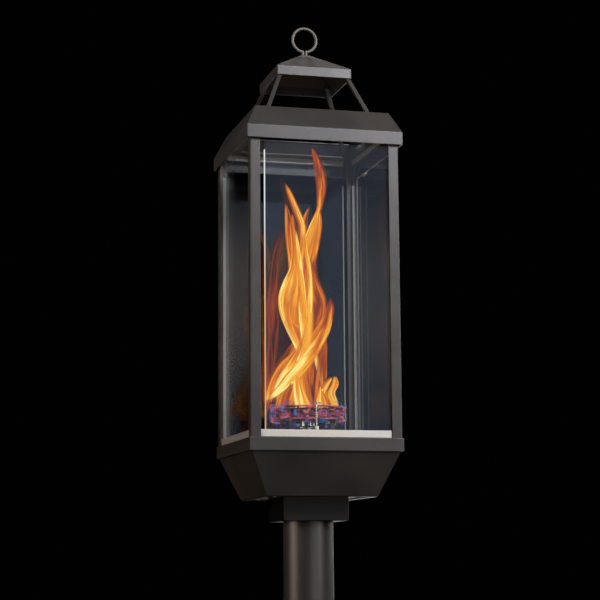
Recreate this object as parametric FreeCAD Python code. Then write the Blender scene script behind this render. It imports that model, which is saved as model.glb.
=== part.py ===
"""Gas torch: a square glass lantern with an open roof crown, standing on a round steel post.

Units are millimetres, +Z is up, the front faces -Y, and the origin is the middle of the base
plate's underside. The lantern is drawn with its own zero at the hopper's lower edge and is lifted
to LANTERN_Z when its pieces are written.
"""
import FreeCAD
import Part
import math
import os

from FreeCAD import Vector

# ---- driving dimensions ------------------------------------------------------------------
LANTERN_Z = 1270.0            # hopper's lower edge above the ground
X_AXIS = Vector(1, 0, 0)
Y_AXIS = Vector(0, 1, 0)
Z_AXIS = Vector(0, 0, 1)

# post and base
PLATE_HALF = 150.0
PLATE_THICK = 12.0
PLATE_CORNER = 18.0
ANCHOR_HALF = 120.0           # anchor holes stand on a 240 mm square
ANCHOR_HOLE_R = 7.0
PLATE_BORE_R = 33.0
POST_R = 38.1                 # 3 inch tube
POST_WALL = 3.2
GUSSET_REACH = 70.0
GUSSET_HEIGHT = 85.0
GUSSET_THICK = 6.0
RISER_R = 10.65               # half inch gas pipe
RISER_WALL = 2.7
COUPLING_R = 15.0
COUPLING_Z = (20.0, 56.0)
INLET_THREAD_R = 9.3
INLET_DEPTH = 18.0

# collar under the hopper
COLLAR_HALF = 50.2
COLLAR_DEPTH = 34.3
COLLAR_BORE_R = 38.4
SET_SCREW_R = 4.0
COLLAR_BOLT_AT = 42.0

# hopper, an upturned hollow pyramid
SHEET = 1.5
HOPPER_LOW = 85.0             # half widths
HOPPER_TOP = 113.7
HOPPER_HEIGHT = 66.0
HOPPER_RIM = 8.0
SLOPE = math.degrees(math.atan((HOPPER_TOP - HOPPER_LOW) / HOPPER_HEIGHT))
FACE_X = (HOPPER_LOW + HOPPER_TOP) / 2
FACE_Z = HOPPER_HEIGHT / 2

# base frame, the band round the foot of the panes
BAND_HALF = 117.1
BAND_Z = (66.1, 85.2)
BAND_WALL = 1.6
LEDGE_HALF = 112.6
LEDGE_WEB = 106.5
LEDGE_TOP = 86.0

# corner posts
ANGLE_HALF = 115.0
ANGLE_LEG = 15.0
ANGLE_THICK = 2.0
ANGLE_TOP = 555.5

# glass and its channels; each pane stops short of the post at its left, seen from outside
PANE_OUTER = 111.9
PANE_THICK = 5.0
PANE_GAP_END = -92.6
PANE_FAR_END = 106.5
PANE_TOP = 554.2
CHANNEL_WALL = 0.8
CHANNEL_SLACK = 0.1
FOOT_CHANNEL = (-97.4, 101.3)
FOOT_CHANNEL_HEIGHT = 10.5
HEAD_CHANNEL_HEIGHT = 8.4
CLIP_LENGTH = 3.8

# roof crown, head frame and cap
CROWN_HALF = 121.2
CROWN_Z = (530.1, 549.4, 582.4)
CROWN_TOP_HALF = 104.8
CROWN_HEM = 3.0
HEAD_FRAME_Z = (555.6, 557.1)
HEAD_FRAME_HALF = (86.0, 115.4)
CAP_HALF = 59.2
CAP_Z = (646.8, 661.4)
CAP_APEX = 699.2
CAP_FLAT_HALF = 5.6
CAP_SHEET = 1.2
ROD_SIDE = 6.2
ROD_LEAN = 0.4115             # sideways run of a rod for each unit of height, along X and Y alike
ROD_AT_CAP = 54.3
BEND_R = 1.2                  # outside radius of the folded edges

# finial ring
RING_Z = 721.3
RING_R = 19.1                 # to the middle of the wire
WIRE_R = 2.0
RING_LEG_X = 2.5

# burner
DECK_Z = (67.7, 69.2)
MIXER_R = 11.0
CAGE_R = 57.0
CAGE_Z = (118.0, 138.5)
DRUM_R = 49.0
VANES = 24
SPARK_AT = (-2.0, -62.0)
SENSOR_AT = (-24.0, 57.5)

# controls on the right face of the hopper
KNOB_Y = 32.0
BUTTON_Y = -30.0
VALVE_BACK = -40.0
STEM_R = 3.0
RUNNING = 0.05                # radial clearance of a running fit

# access door on the back face of the hopper
DOOR_HALF = 62.0
DOOR_RISE = 24.0
HATCH_HALF = 55.0
HATCH_RISE = 20.0
HINGE_OUT = 3.5               # hinge axis in front of the face
HINGE_DROP = -27.8            # and below its middle
PIN_R = 1.5
BARREL_R = 2.9

SIDES = ("front", "right", "back", "left")
CORNERS = ("front_left", "front_right", "back_right", "back_left")


# ---- helpers -----------------------------------------------------------------------------
def box(x0, x1, y0, y1, z0, z1):
    return Part.makeBox(x1 - x0, y1 - y0, z1 - z0, Vector(x0, y0, z0))


def slab(half, z0, z1):
    return box(-half, half, -half, half, z0, z1)


def rod(radius, start, end):
    run = end - start
    return Part.makeCylinder(radius, run.Length, start, run)


def tube(outer, inner, start, end):
    return rod(outer, start, end).cut(rod(inner, start, end))


def frustum(half0, z0, half1, z1):
    """A square pyramid cut off flat, from its lower and upper half widths."""
    square = ((-1, -1), (1, -1), (1, 1), (-1, 1))
    low = [Vector(x * half0, y * half0, z0) for x, y in square]
    top = [Vector(x * half1, y * half1, z1) for x, y in square]
    loops = [low[::-1], top]
    loops += [[low[i], low[(i + 1) % 4], top[(i + 1) % 4], top[i]] for i in range(4)]
    faces = [Part.Face(Part.makePolygon(loop + loop[:1])) for loop in loops]
    return Part.Solid(Part.Shell(faces))


def turned(shape, quarters):
    """The shape of the front side, turned to another side."""
    copy = shape.copy()
    copy.rotate(Vector(0, 0, 0), Z_AXIS, 90 * quarters)
    return copy


def on_right_face(shape, across=0.0):
    """A shape drawn with +X out of the face, moved to the sloping right face of the hopper."""
    copy = shape.copy()
    copy.rotate(Vector(0, 0, 0), Y_AXIS, SLOPE)
    copy.translate(Vector(FACE_X, across, FACE_Z))
    return copy


def face_point(out, across, up):
    """A point of the right face's own frame, in the lantern's frame."""
    lean = math.radians(SLOPE)
    x = FACE_X + out * math.cos(lean) + up * math.sin(lean)
    z = FACE_Z - out * math.sin(lean) + up * math.cos(lean)
    return Vector(x, across, z)


def on_back_face(shape):
    return turned(on_right_face(shape), 1)


def bent_path(points):
    """Straight runs joined by tangent arcs, each as large as its two runs allow."""
    edges = []
    start = points[0]
    for before, corner, after in zip(points, points[1:], points[2:]):
        arrive = (corner - before).normalize()
        leave = (after - corner).normalize()
        trim = 0.45 * min((corner - before).Length, (after - corner).Length)
        enter = corner - arrive * trim
        exit_at = corner + leave * trim
        half_turn = arrive.getAngle(leave) / 2
        radius = trim / math.tan(half_turn)
        inward = (leave - arrive).normalize()
        middle = corner + inward * (radius / math.cos(half_turn) - radius)
        edges.append(Part.LineSegment(start, enter).toShape())
        edges.append(Part.Arc(enter, middle, exit_at).toShape())
        start = exit_at
    edges.append(Part.LineSegment(start, points[-1]).toShape())
    return Part.Wire(edges)


def piped(points, outer, inner=0.0):
    """A round tube, or a solid wire, along a bent path."""
    path = bent_path(points)
    first = (points[1] - points[0]).normalize()
    section = Part.Wire(Part.makeCircle(outer, points[0], first))
    solid = path.makePipeShell([section], True, False)
    if inner:
        hollow = Part.Wire(Part.makeCircle(inner, points[0], first))
        solid = solid.cut(path.makePipeShell([hollow], True, False))
    return solid


def fuse(shapes):
    whole = shapes[0].multiFuse(shapes[1:])
    return whole.removeSplitter()


def upright_edges(shape):
    """Edges that run up the corners, straight or leaning."""
    picked = []
    for edge in shape.Edges:
        ends = [vertex.Point for vertex in edge.Vertexes]
        if len(ends) == 2 and abs(ends[0].z - ends[1].z) > 2:
            picked.append(edge)
    return picked


def write(name, shape, lifted=True):
    """Write one node, lifted to the lantern's height unless it belongs to the post."""
    copy = shape.copy()
    if lifted:
        copy.translate(Vector(0, 0, LANTERN_Z))
    if not copy.isValid():
        raise ValueError(name + " is not a valid solid")
    copy.exportStep("parts/" + name + ".step")
    return copy


# ---- post and base -----------------------------------------------------------------------
def base_plate():
    plate = slab(PLATE_HALF, 0, PLATE_THICK)
    plate = plate.makeFillet(PLATE_CORNER, upright_edges(plate))
    rim = [edge for edge in plate.Edges if edge.CenterOfMass.z > PLATE_THICK - 0.1]
    plate = plate.makeChamfer(1.5, rim)
    holes = [Part.makeCylinder(PLATE_BORE_R, PLATE_THICK)]
    for x in (-ANCHOR_HALF, ANCHOR_HALF):
        for y in (-ANCHOR_HALF, ANCHOR_HALF):
            holes.append(Part.makeCylinder(ANCHOR_HOLE_R, PLATE_THICK, Vector(x, y, 0)))
    return plate.cut(Part.Compound(holes))


def base_gussets():
    """Four welded webs between the post and the plate, clipped at the weld corner."""
    clip = 8.0
    toe = 12.0
    foot = PLATE_THICK
    outline = [
        (POST_R + clip, foot), (POST_R + GUSSET_REACH, foot), (POST_R + GUSSET_REACH, foot + toe),
        (POST_R + toe, foot + GUSSET_HEIGHT), (POST_R, foot + GUSSET_HEIGHT), (POST_R, foot + clip),
    ]
    corners = [Vector(x, -GUSSET_THICK / 2, z) for x, z in outline]
    face = Part.Face(Part.makePolygon(corners + corners[:1]))
    web = face.extrude(Vector(0, GUSSET_THICK, 0))
    return Part.Compound([turned(web, quarter) for quarter in range(4)])


def post_tube():
    top = LANTERN_Z + SHEET
    return tube(POST_R, POST_R - POST_WALL, Vector(0, 0, PLATE_THICK), Vector(0, 0, top))


def gas_riser():
    foot = Vector(0, 0, COUPLING_Z[0] + INLET_DEPTH)
    top = Vector(0, 0, LANTERN_Z + 14)
    return tube(RISER_R, RISER_R - RISER_WALL, foot, top)


def inlet_coupling():
    low, high = COUPLING_Z
    sleeve = Part.makeCylinder(COUPLING_R, high - low, Vector(0, 0, low))
    rims = [edge for edge in sleeve.Edges if edge.Closed]
    sleeve = sleeve.makeChamfer(1.2, rims)
    thread = Part.makeCylinder(INLET_THREAD_R, INLET_DEPTH, Vector(0, 0, low))
    socket = Part.makeCylinder(RISER_R + RUNNING, high - low, Vector(0, 0, low + INLET_DEPTH))
    return sleeve.cut(thread.fuse(socket))


# ---- collar and hopper -------------------------------------------------------------------
def set_screw_places():
    """The set screws stand on the right and back faces of the collar, at mid height."""
    height = -COLLAR_DEPTH / 2
    return [(Vector(0, 0, height), X_AXIS), (Vector(0, 0, height), Y_AXIS)]


def post_collar():
    block = slab(COLLAR_HALF, -COLLAR_DEPTH, SHEET)
    block = block.makeFillet(1.6, upright_edges(block))
    rim = [edge for edge in block.Edges if edge.CenterOfMass.z < 0.1 - COLLAR_DEPTH]
    block = block.makeChamfer(0.8, rim)
    cuts = [Part.makeCylinder(COLLAR_BORE_R, COLLAR_DEPTH + SHEET, Vector(0, 0, -COLLAR_DEPTH))]
    for centre, way in set_screw_places():
        cuts.append(rod(SET_SCREW_R + RUNNING, centre, centre + way * (COLLAR_HALF + 1)))
    for x in (-COLLAR_BOLT_AT, COLLAR_BOLT_AT):
        for y in (-COLLAR_BOLT_AT, COLLAR_BOLT_AT):
            cuts.append(Part.makeCylinder(3.0 + RUNNING, 16, Vector(x, y, SHEET - 16)))
    return block.cut(Part.Compound(cuts))


def hex_head(across, thick, base, way):
    """A hexagon head, its underside at base and its top along way."""
    corners = []
    for step in range(7):
        turn = math.radians(60 * step)
        corners.append(Vector(across / math.sqrt(3) * math.cos(turn),
                              across / math.sqrt(3) * math.sin(turn), 0))
    head = Part.Face(Part.makePolygon(corners)).extrude(Vector(0, 0, thick))
    dome = Part.makeCone(across * 0.62, across * 0.46, thick * 1.02)
    head = head.common(dome)
    head.Placement = FreeCAD.Placement(base, FreeCAD.Rotation(Z_AXIS, way))
    return head


def collar_set_screws():
    screws = []
    for centre, way in set_screw_places():
        shank = rod(SET_SCREW_R, centre + way * (POST_R + 0.1), centre + way * (COLLAR_HALF + 0.2))
        head = hex_head(13.0, 5.5, centre + way * (COLLAR_HALF + 0.2), way)
        screws.append(shank.fuse(head))
    return Part.Compound(screws)


def collar_bolts():
    """Four bolts that clamp the hopper's floor on the collar."""
    floor_top = 2 * SHEET
    bolts = []
    for x in (-COLLAR_BOLT_AT, COLLAR_BOLT_AT):
        for y in (-COLLAR_BOLT_AT, COLLAR_BOLT_AT):
            seat = Vector(x, y, floor_top)
            shank = rod(3.0, Vector(x, y, floor_top - 16), seat)
            bolts.append(shank.fuse(hex_head(10.0, 4.0, seat, Z_AXIS)))
    return Part.Compound(bolts)


def hatch_lugs():
    """Four drilled lugs on the back face that hold the door's hinge pins."""
    lugs = []
    for start in (-54.0, -29.4, 25.4, 50.0):
        eye = rod(BARREL_R, Vector(HINGE_OUT, start, HINGE_DROP),
                  Vector(HINGE_OUT, start + 4, HINGE_DROP))
        foot = box(-0.1, HINGE_OUT, start, start + 4, HINGE_DROP - BARREL_R, HINGE_DROP + BARREL_R)
        hole = rod(PIN_R + 0.01, Vector(HINGE_OUT, start - 1, HINGE_DROP),
                   Vector(HINGE_OUT, start + 5, HINGE_DROP))
        lugs.append(eye.fuse(foot).cut(hole))
    return lugs


def hopper_shell():
    rise = (HOPPER_TOP - HOPPER_LOW) / HOPPER_HEIGHT
    wall = SHEET / math.cos(math.radians(SLOPE))
    outer = frustum(HOPPER_LOW, 0, HOPPER_TOP, HOPPER_HEIGHT)
    outer = outer.makeFillet(BEND_R, upright_edges(outer))
    low, high = SHEET, HOPPER_HEIGHT - SHEET
    hollow = frustum(HOPPER_LOW - wall + rise * low, low, HOPPER_LOW - wall + rise * high, high)
    shell = outer.cut(hollow)
    shell = shell.cut(slab(HOPPER_LOW - HOPPER_RIM, -1, SHEET + 1))
    shell = shell.cut(slab(HOPPER_TOP - 11, HOPPER_HEIGHT - SHEET - 1, HOPPER_HEIGHT + 1))
    openings = [
        on_right_face(rod(8.2, Vector(-4, 0, 0), Vector(3, 0, 0)), KNOB_Y),
        on_right_face(rod(9.2, Vector(-4, 0, 0), Vector(3, 0, 0)), BUTTON_Y),
        on_back_face(box(-5, 5, -HATCH_HALF, HATCH_HALF, -HATCH_RISE, HATCH_RISE)),
    ]
    shell = shell.cut(Part.Compound(openings))
    return fuse([shell] + [on_back_face(lug) for lug in hatch_lugs()])


def hopper_floor():
    """The floor inside the rim, with a pipe hole and air slots for the burner."""
    floor = slab(HOPPER_LOW - SHEET, SHEET, 2 * SHEET)
    cuts = [Part.makeCylinder(20.0, 10)]
    for x in (-COLLAR_BOLT_AT, COLLAR_BOLT_AT):
        for y in (-COLLAR_BOLT_AT, COLLAR_BOLT_AT):
            cuts.append(Part.makeCylinder(3.2, 10, Vector(x, y, 0)))
    for x, y in floor_screw_places():
        cuts.append(Part.makeCylinder(2.2, 10, Vector(x, y, 0)))
    for quarter in range(4):
        for offset in (-24, -8, 8, 24):
            slot = box(offset - 5, offset + 5, -72, -68, 0, 10)
            cuts.append(turned(slot, quarter))
    return floor.cut(Part.Compound(cuts))


def floor_screw_places():
    return [(-66.0, 52.0), (66.0, 52.0), (-66.0, -52.0), (66.0, -52.0)]


def floor_screws():
    """Pan head screws up through the floor into nuts, their heads seen from below."""
    screws = []
    for x, y in floor_screw_places():
        head = Part.makeCylinder(4.0, 2.4, Vector(x, y, SHEET - 2.4))
        rim = [edge for edge in head.Edges if edge.CenterOfMass.z < SHEET - 2.3 and edge.Closed]
        head = head.makeFillet(1.6, rim)
        shank = Part.makeCylinder(2.0, 8.0, Vector(x, y, SHEET))
        nut = hex_head(7.0, 3.2, Vector(x, y, 2 * SHEET), Z_AXIS)
        screws.append(fuse([head, shank, nut]))
    return Part.Compound(screws)


# ---- lantern frame -----------------------------------------------------------------------
def base_frame():
    """The band, the flange it stands on, and the folded ledge that carries the panes."""
    low, high = BAND_Z
    floor_top = low + BAND_WALL
    band = slab(BAND_HALF, low, high)
    band = band.makeFillet(BEND_R, upright_edges(band))
    top = [edge for edge in band.Edges if edge.CenterOfMass.z > high - 0.1]
    band = band.makeChamfer(0.5, top)
    band = band.cut(slab(BAND_HALF - BAND_WALL, floor_top, high + 1))
    band = band.cut(slab(95, low - 1, floor_top + 1))
    web = slab(LEDGE_WEB, floor_top - 0.5, LEDGE_TOP).cut(
        slab(LEDGE_WEB - SHEET, floor_top - 1, LEDGE_TOP + 1))
    shelf = slab(LEDGE_HALF, LEDGE_TOP - SHEET, LEDGE_TOP).cut(
        slab(LEDGE_WEB - SHEET, LEDGE_TOP - 5, LEDGE_TOP + 1))
    return fuse([band, web, shelf])


def corner_post():
    """The front left angle, from the base frame up into the roof crown."""
    low = BAND_Z[0] + BAND_WALL
    outer = box(-ANGLE_HALF, -ANGLE_HALF + ANGLE_LEG, -ANGLE_HALF, -ANGLE_HALF + ANGLE_LEG,
                low, ANGLE_TOP)
    heel = [edge for edge in upright_edges(outer)
            if abs(edge.CenterOfMass.x + ANGLE_HALF) < 0.1
            and abs(edge.CenterOfMass.y + ANGLE_HALF) < 0.1]
    outer = outer.makeFillet(BEND_R, heel)
    inner = box(-ANGLE_HALF + ANGLE_THICK, 0, -ANGLE_HALF + ANGLE_THICK, 0, low - 1, ANGLE_TOP + 1)
    return outer.cut(inner)


def pane():
    """The front pane; its polished edges are slightly eased."""
    low = LEDGE_TOP + CHANNEL_WALL + CHANNEL_SLACK
    glass = box(PANE_GAP_END, PANE_FAR_END, -PANE_OUTER, -PANE_OUTER + PANE_THICK, low, PANE_TOP)
    return glass.makeChamfer(0.6, upright_edges(glass))


def channel(x_range, z_low, z_high, web_low):
    """A folded U that grips the front pane, with its web along one side."""
    outer_y = -PANE_OUTER - CHANNEL_SLACK - CHANNEL_WALL
    inner_y = -PANE_OUTER + PANE_THICK + CHANNEL_SLACK + CHANNEL_WALL
    body = box(x_range[0], x_range[1], outer_y, inner_y, z_low, z_high)
    slot_low = z_low + CHANNEL_WALL if web_low else z_low - 1
    slot_high = z_high + 1 if web_low else z_high - CHANNEL_WALL
    slot = box(x_range[0] - 1, x_range[1] + 1, outer_y + CHANNEL_WALL, inner_y - CHANNEL_WALL,
               slot_low, slot_high)
    return body.cut(slot)


def foot_channel():
    return channel(FOOT_CHANNEL, LEDGE_TOP, LEDGE_TOP + FOOT_CHANNEL_HEIGHT, True)


def head_channel():
    top = PANE_TOP + CHANNEL_SLACK + CHANNEL_WALL
    return channel((PANE_GAP_END, FOOT_CHANNEL[1]), top - HEAD_CHANNEL_HEIGHT, top, False)


def end_clips():
    """The stops that close each foot channel beside its air gap."""
    start = FOOT_CHANNEL[0] - 0.3 - CLIP_LENGTH
    clip = box(start, start + CLIP_LENGTH, -PANE_OUTER - 0.9, -PANE_OUTER + PANE_THICK + 0.9,
               LEDGE_TOP, LEDGE_TOP + FOOT_CHANNEL_HEIGHT)
    clip = clip.makeFillet(0.6, clip.Edges)
    return Part.Compound([turned(clip, quarter) for quarter in range(4)])


# ---- roof --------------------------------------------------------------------------------
def head_frame():
    inner, outer = HEAD_FRAME_HALF
    low, high = HEAD_FRAME_Z
    return slab(outer, low, high).cut(slab(inner, low - 1, high + 1))


def thumbscrew_places():
    """Foot, outward direction and node name of each thumbscrew."""
    middle = ANGLE_HALF - ANGLE_LEG / 2
    height = (CROWN_Z[0] + CROWN_Z[1]) / 2
    return [("thumbscrew_right", Vector(0, middle, height), X_AXIS),
            ("thumbscrew_back", Vector(-middle, 0, height), Y_AXIS)]


def roof_crown():
    """Fascia and four steep slopes round an open top, with a folded hem and two tapped bosses."""
    low, knee, top = CROWN_Z
    lean = (CROWN_HALF - CROWN_TOP_HALF) / (top - knee)
    wall = SHEET * math.sqrt(1 + lean * lean)
    outer = fuse([slab(CROWN_HALF, low, knee), frustum(CROWN_HALF, knee, CROWN_TOP_HALF, top)])
    folds = [edge for edge in outer.Edges if low + 1 < edge.CenterOfMass.z < top - 1]
    outer = outer.makeFillet(BEND_R, folds)
    hollow = fuse([
        slab(CROWN_HALF - SHEET, low - 1, knee),
        frustum(CROWN_HALF - SHEET, knee, CROWN_HALF - wall - lean * (top - SHEET - knee), top - SHEET),
    ])
    crown = outer.cut(hollow)
    crown = crown.cut(slab(CROWN_TOP_HALF - CROWN_HEM, top - SHEET - 1, top + 1))
    bosses = []
    holes = []
    for _, centre, way in thumbscrew_places():
        bosses.append(rod(5.0, centre + way * (ANGLE_HALF + 0.9), centre + way * (CROWN_HALF - 0.5)))
        holes.append(rod(2.5 + RUNNING, centre + way * ANGLE_HALF, centre + way * (CROWN_HALF + 2)))
    return fuse([crown] + bosses).cut(Part.Compound(holes))


def roof_rods():
    """Four square rods that lean in from the head frame to the cap."""
    low = HEAD_FRAME_Z[1]
    high = CAP_Z[1] - 3
    foot = ROD_AT_CAP + ROD_LEAN * (CAP_Z[0] - low)
    rise = high - low
    half = ROD_SIDE / 2
    section = box(-foot - half, -foot + half, -foot - half, -foot + half, low, low + 1).Faces
    bottom = min(section, key=lambda face: face.CenterOfMass.z)
    bar = bottom.extrude(Vector(ROD_LEAN * rise, ROD_LEAN * rise, rise))
    return Part.Compound([turned(bar, quarter) for quarter in range(4)])


def cap():
    """The small pyramid over the vent, hollow, with two holes in its flat for the ring."""
    low, knee = CAP_Z
    pitch = (CAP_APEX - knee) / CAP_HALF
    flat = CAP_APEX - pitch * CAP_FLAT_HALF
    drop = CAP_SHEET * math.sqrt(1 + pitch * pitch)
    outer = fuse([slab(CAP_HALF, low, knee), frustum(CAP_HALF, knee, CAP_FLAT_HALF, flat)])
    folds = [edge for edge in outer.Edges if low + 1 < edge.CenterOfMass.z < flat - 1]
    outer = outer.makeFillet(BEND_R, folds)
    inside = CAP_HALF - CAP_SHEET
    inner_knee = knee + pitch * CAP_SHEET - drop
    hollow = fuse([slab(inside, low - 1, inner_knee),
                   frustum(inside, inner_knee, CAP_FLAT_HALF, flat - drop)])
    holes = [Part.makeCylinder(WIRE_R + RUNNING, 30, Vector(x, 0, flat - 15))
             for x in (-RING_LEG_X, RING_LEG_X)]
    return outer.cut(hollow).cut(Part.Compound(holes))


def finial_ring():
    """One wire bent to a ring, its two ends going down side by side through the cap."""
    centre = Vector(0, 0, RING_Z)
    opening = math.degrees(math.asin(RING_LEG_X / RING_R))
    section = Part.Face(Part.Wire(Part.makeCircle(WIRE_R, Vector(0, 0, RING_Z - RING_R), X_AXIS)))
    section.rotate(centre, Y_AXIS, -opening)
    loop = section.revolve(centre, Y_AXIS, 2 * opening - 360)
    drop = RING_Z - RING_R * math.cos(math.radians(opening))
    pieces = [loop]
    for x in (-RING_LEG_X, RING_LEG_X):
        pieces.append(Part.makeSphere(WIRE_R, Vector(x, 0, drop)))
        pieces.append(rod(WIRE_R, Vector(x, 0, 686), Vector(x, 0, drop)))
    return fuse(pieces)


def thumbscrew(centre, way):
    """A knurled head on a plain shank that bears on the corner post."""
    shank = rod(2.5, centre + way * (ANGLE_HALF + 0.2), centre + way * (CROWN_HALF + 3))
    neck = rod(4.0, centre + way * (CROWN_HALF + 0.6), centre + way * (CROWN_HALF + 3))
    head = Part.makeCylinder(8.0, 7.0)
    head = head.makeChamfer(0.8, [edge for edge in head.Edges if edge.Closed])
    grooves = []
    for step in range(20):
        turn = math.radians(18 * step)
        grooves.append(Part.makeCylinder(0.7, 9, Vector(8.2 * math.cos(turn), 8.2 * math.sin(turn), -1)))
    head = head.cut(Part.Compound(grooves))
    head.Placement = FreeCAD.Placement(centre + way * (CROWN_HALF + 3),
                                       FreeCAD.Rotation(Z_AXIS, way))
    return fuse([shank, neck, head])


# ---- burner ------------------------------------------------------------------------------
def burner_deck():
    """The plate under the burner, with a ring of air slots and holes for the leads."""
    low, high = DECK_Z
    deck = slab(LEDGE_WEB - SHEET - 0.2, low, high)
    cuts = [Part.makeCylinder(17.0, 10, Vector(0, 0, low - 5))]
    for step in range(16):
        slot = box(70, 92, -3, 3, low - 5, high + 5)
        slot.rotate(Vector(0, 0, 0), Z_AXIS, 22.5 * step + 11.25)
        cuts.append(slot)
    for point in (SPARK_AT, SENSOR_AT):
        cuts.append(Part.makeCylinder(4.6, 10, Vector(point[0], point[1], low - 5)))
    return deck.cut(Part.Compound(cuts))


def swirl_cage():
    """Two flat rings joined by slanting vanes, which turn the air round the burner."""
    low, high = CAGE_Z
    top_ring = Part.makeCylinder(CAGE_R, 1.8, Vector(0, 0, high - 1.8))
    top_ring = top_ring.cut(Part.makeCylinder(CAGE_R - 11, 10, Vector(0, 0, high - 5)))
    foot_ring = Part.makeCylinder(CAGE_R, 1.8, Vector(0, 0, low))
    foot_ring = foot_ring.cut(Part.makeCylinder(28, 10, Vector(0, 0, low - 5)))
    pieces = [top_ring, foot_ring]
    for step in range(VANES):
        vane = box(DRUM_R + 1.5, CAGE_R - 0.8, -0.5, 0.5, low + 1.0, high - 1.0)
        vane.rotate(Vector((DRUM_R + CAGE_R) / 2, 0, 0), Z_AXIS, 38)
        vane.rotate(Vector(0, 0, 0), Z_AXIS, 360 / VANES * step)
        pieces.append(vane)
    return fuse(pieces)


def burner_head():
    """The drum that spreads the gas: ported wall, dished top and an inlet neck."""
    low = CAGE_Z[0] + 1.8
    high = CAGE_Z[1] - 3.0
    drum = Part.makeCylinder(DRUM_R, high - low, Vector(0, 0, low))
    rim = [edge for edge in drum.Edges if edge.Closed and edge.CenterOfMass.z > high - 0.1]
    drum = drum.makeFillet(3.0, rim)
    drum = drum.cut(Part.makeCylinder(DRUM_R - 1.2, high - low - 2.4, Vector(0, 0, low + 1.2)))
    drum = drum.cut(Part.makeCylinder(MIXER_R + RUNNING, 10, Vector(0, 0, low - 5)))
    ports = []
    for step in range(36):
        port = rod(1.2, Vector(DRUM_R - 4, 0, high - 6), Vector(DRUM_R + 4, 0, high - 6))
        port.rotate(Vector(0, 0, 0), Z_AXIS, 10 * step)
        ports.append(port)
    for radius, count in ((16.0, 8), (30.0, 16), (41.0, 24)):
        for step in range(count):
            turn = 2 * math.pi * step / count
            spot = Vector(radius * math.cos(turn), radius * math.sin(turn), high - 5)
            ports.append(Part.makeCylinder(1.6, 10, spot))
    return drum.cut(Part.Compound(ports))


def burner_legs():
    """Four bent strips that stand the cage on the deck."""
    foot = DECK_Z[1]
    top = CAGE_Z[0]
    legs = []
    upright = box(43, 45, -6, 6, foot, top)
    toe = box(45, 57, -6, 6, foot, foot + 2)
    arm = box(33, 43, -6, 6, top - 2, top)
    leg = fuse([upright, toe, arm])
    leg.rotate(Vector(0, 0, 0), Z_AXIS, 45)
    for quarter in range(4):
        legs.append(turned(leg, quarter))
    return Part.Compound(legs)


def mixer_tube():
    """The upright tube where gas and air mix, with a rolled shoulder under the drum."""
    wall = 1.2
    low = 76.0
    high = CAGE_Z[0] + 3.0
    pipe = Part.makeCylinder(MIXER_R, high - low, Vector(0, 0, low))
    shoulder = Part.makeTorus(MIXER_R + 1.0, 2.6, Vector(0, 0, 108.0), Z_AXIS)
    bell = Part.makeCone(MIXER_R + 5, MIXER_R, 9.0, Vector(0, 0, low))
    bore = Part.makeCylinder(MIXER_R - wall, 100, Vector(0, 0, low - 1))
    mouth = Part.makeCone(MIXER_R + 5 - wall, MIXER_R - wall, 9.0, Vector(0, 0, low))
    windows = []
    for quarter in range(4):
        windows.append(turned(box(-4, 4, -20, 0, low + 10, low + 22), quarter))
    whole = fuse([pipe, shoulder, bell])
    return whole.cut(bore.fuse(mouth)).cut(Part.Compound(windows))


def orifice_holder():
    """The brass jet under the mixer tube, fed from its side."""
    body = hex_head(14.0, 20.0, Vector(0, 0, 44.0), Z_AXIS)
    spud = Part.makeCylinder(4.5, 14, Vector(0, 0, 63.0))
    tip = Part.makeCone(4.5, 2.0, 4, Vector(0, 0, 77.0))
    jet = Part.makeCylinder(0.8, 40, Vector(0, 0, 60.0))
    return fuse([body, spud, tip]).cut(jet)


def electrode_ceramic():
    """The white insulator of the spark electrode, standing in the deck."""
    x, y = SPARK_AT
    body = rod(3.2, Vector(x, y, 64), Vector(x, y, 106))
    flange = rod(6.0, Vector(x, y, DECK_Z[1]), Vector(x, y, DECK_Z[1] + 3))
    whole = fuse([body, flange])
    return whole.cut(rod(1.05, Vector(x, y, 60), Vector(x, y, 110)))


def spark_electrode():
    """The spark wire, up through its insulator and bent in towards the drum."""
    x, y = SPARK_AT
    return piped([Vector(x, y, 62), Vector(x, y, 138.5), Vector(x, y + 8, 146.5)], 1.0)


def flame_sensor():
    """The thermocouple that holds the valve open while the flame burns."""
    x, y = SENSOR_AT
    stem = rod(3.0, Vector(x, y, 60), Vector(x, y, 132))
    tip = rod(2.0, Vector(x, y, 132), Vector(x, y, 142))
    nut = hex_head(12.0, 4.0, Vector(x, y, DECK_Z[1]), Z_AXIS)
    return fuse([stem, tip, nut])


# ---- gas train in the hopper -------------------------------------------------------------
def valve_body():
    block = box(VALVE_BACK, -6, -13, 13, -13, 13)
    block = block.makeFillet(2.0, [edge for edge in block.Edges if edge.Length > 30])
    nose = rod(8.0, Vector(-6, 0, 0), Vector(1.2, 0, 0))
    nut = hex_head(22.0, 2.5, Vector(0.1, 0, 0), X_AXIS)
    stem_bore = rod(STEM_R + RUNNING, Vector(-28, 0, 0), Vector(9, 0, 0))
    rod_bore = rod(2.0 + RUNNING, Vector(-37, 0, 0), Vector(-20, 0, 0))
    whole = fuse([block, nose, nut]).cut(stem_bore).cut(rod_bore)
    return on_right_face(whole, KNOB_Y)


def valve_plunger():
    """The push rod behind the stem, which slides but does not turn."""
    head = rod(STEM_R - 0.1, Vector(-22, 0, 0), Vector(-20.1, 0, 0))
    tail = rod(2.0, Vector(-32, 0, 0), Vector(-22, 0, 0))
    return on_right_face(fuse([head, tail]), KNOB_Y)


def valve_stem():
    return on_right_face(rod(STEM_R, Vector(-20, 0, 0), Vector(16, 0, 0)), KNOB_Y)


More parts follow.
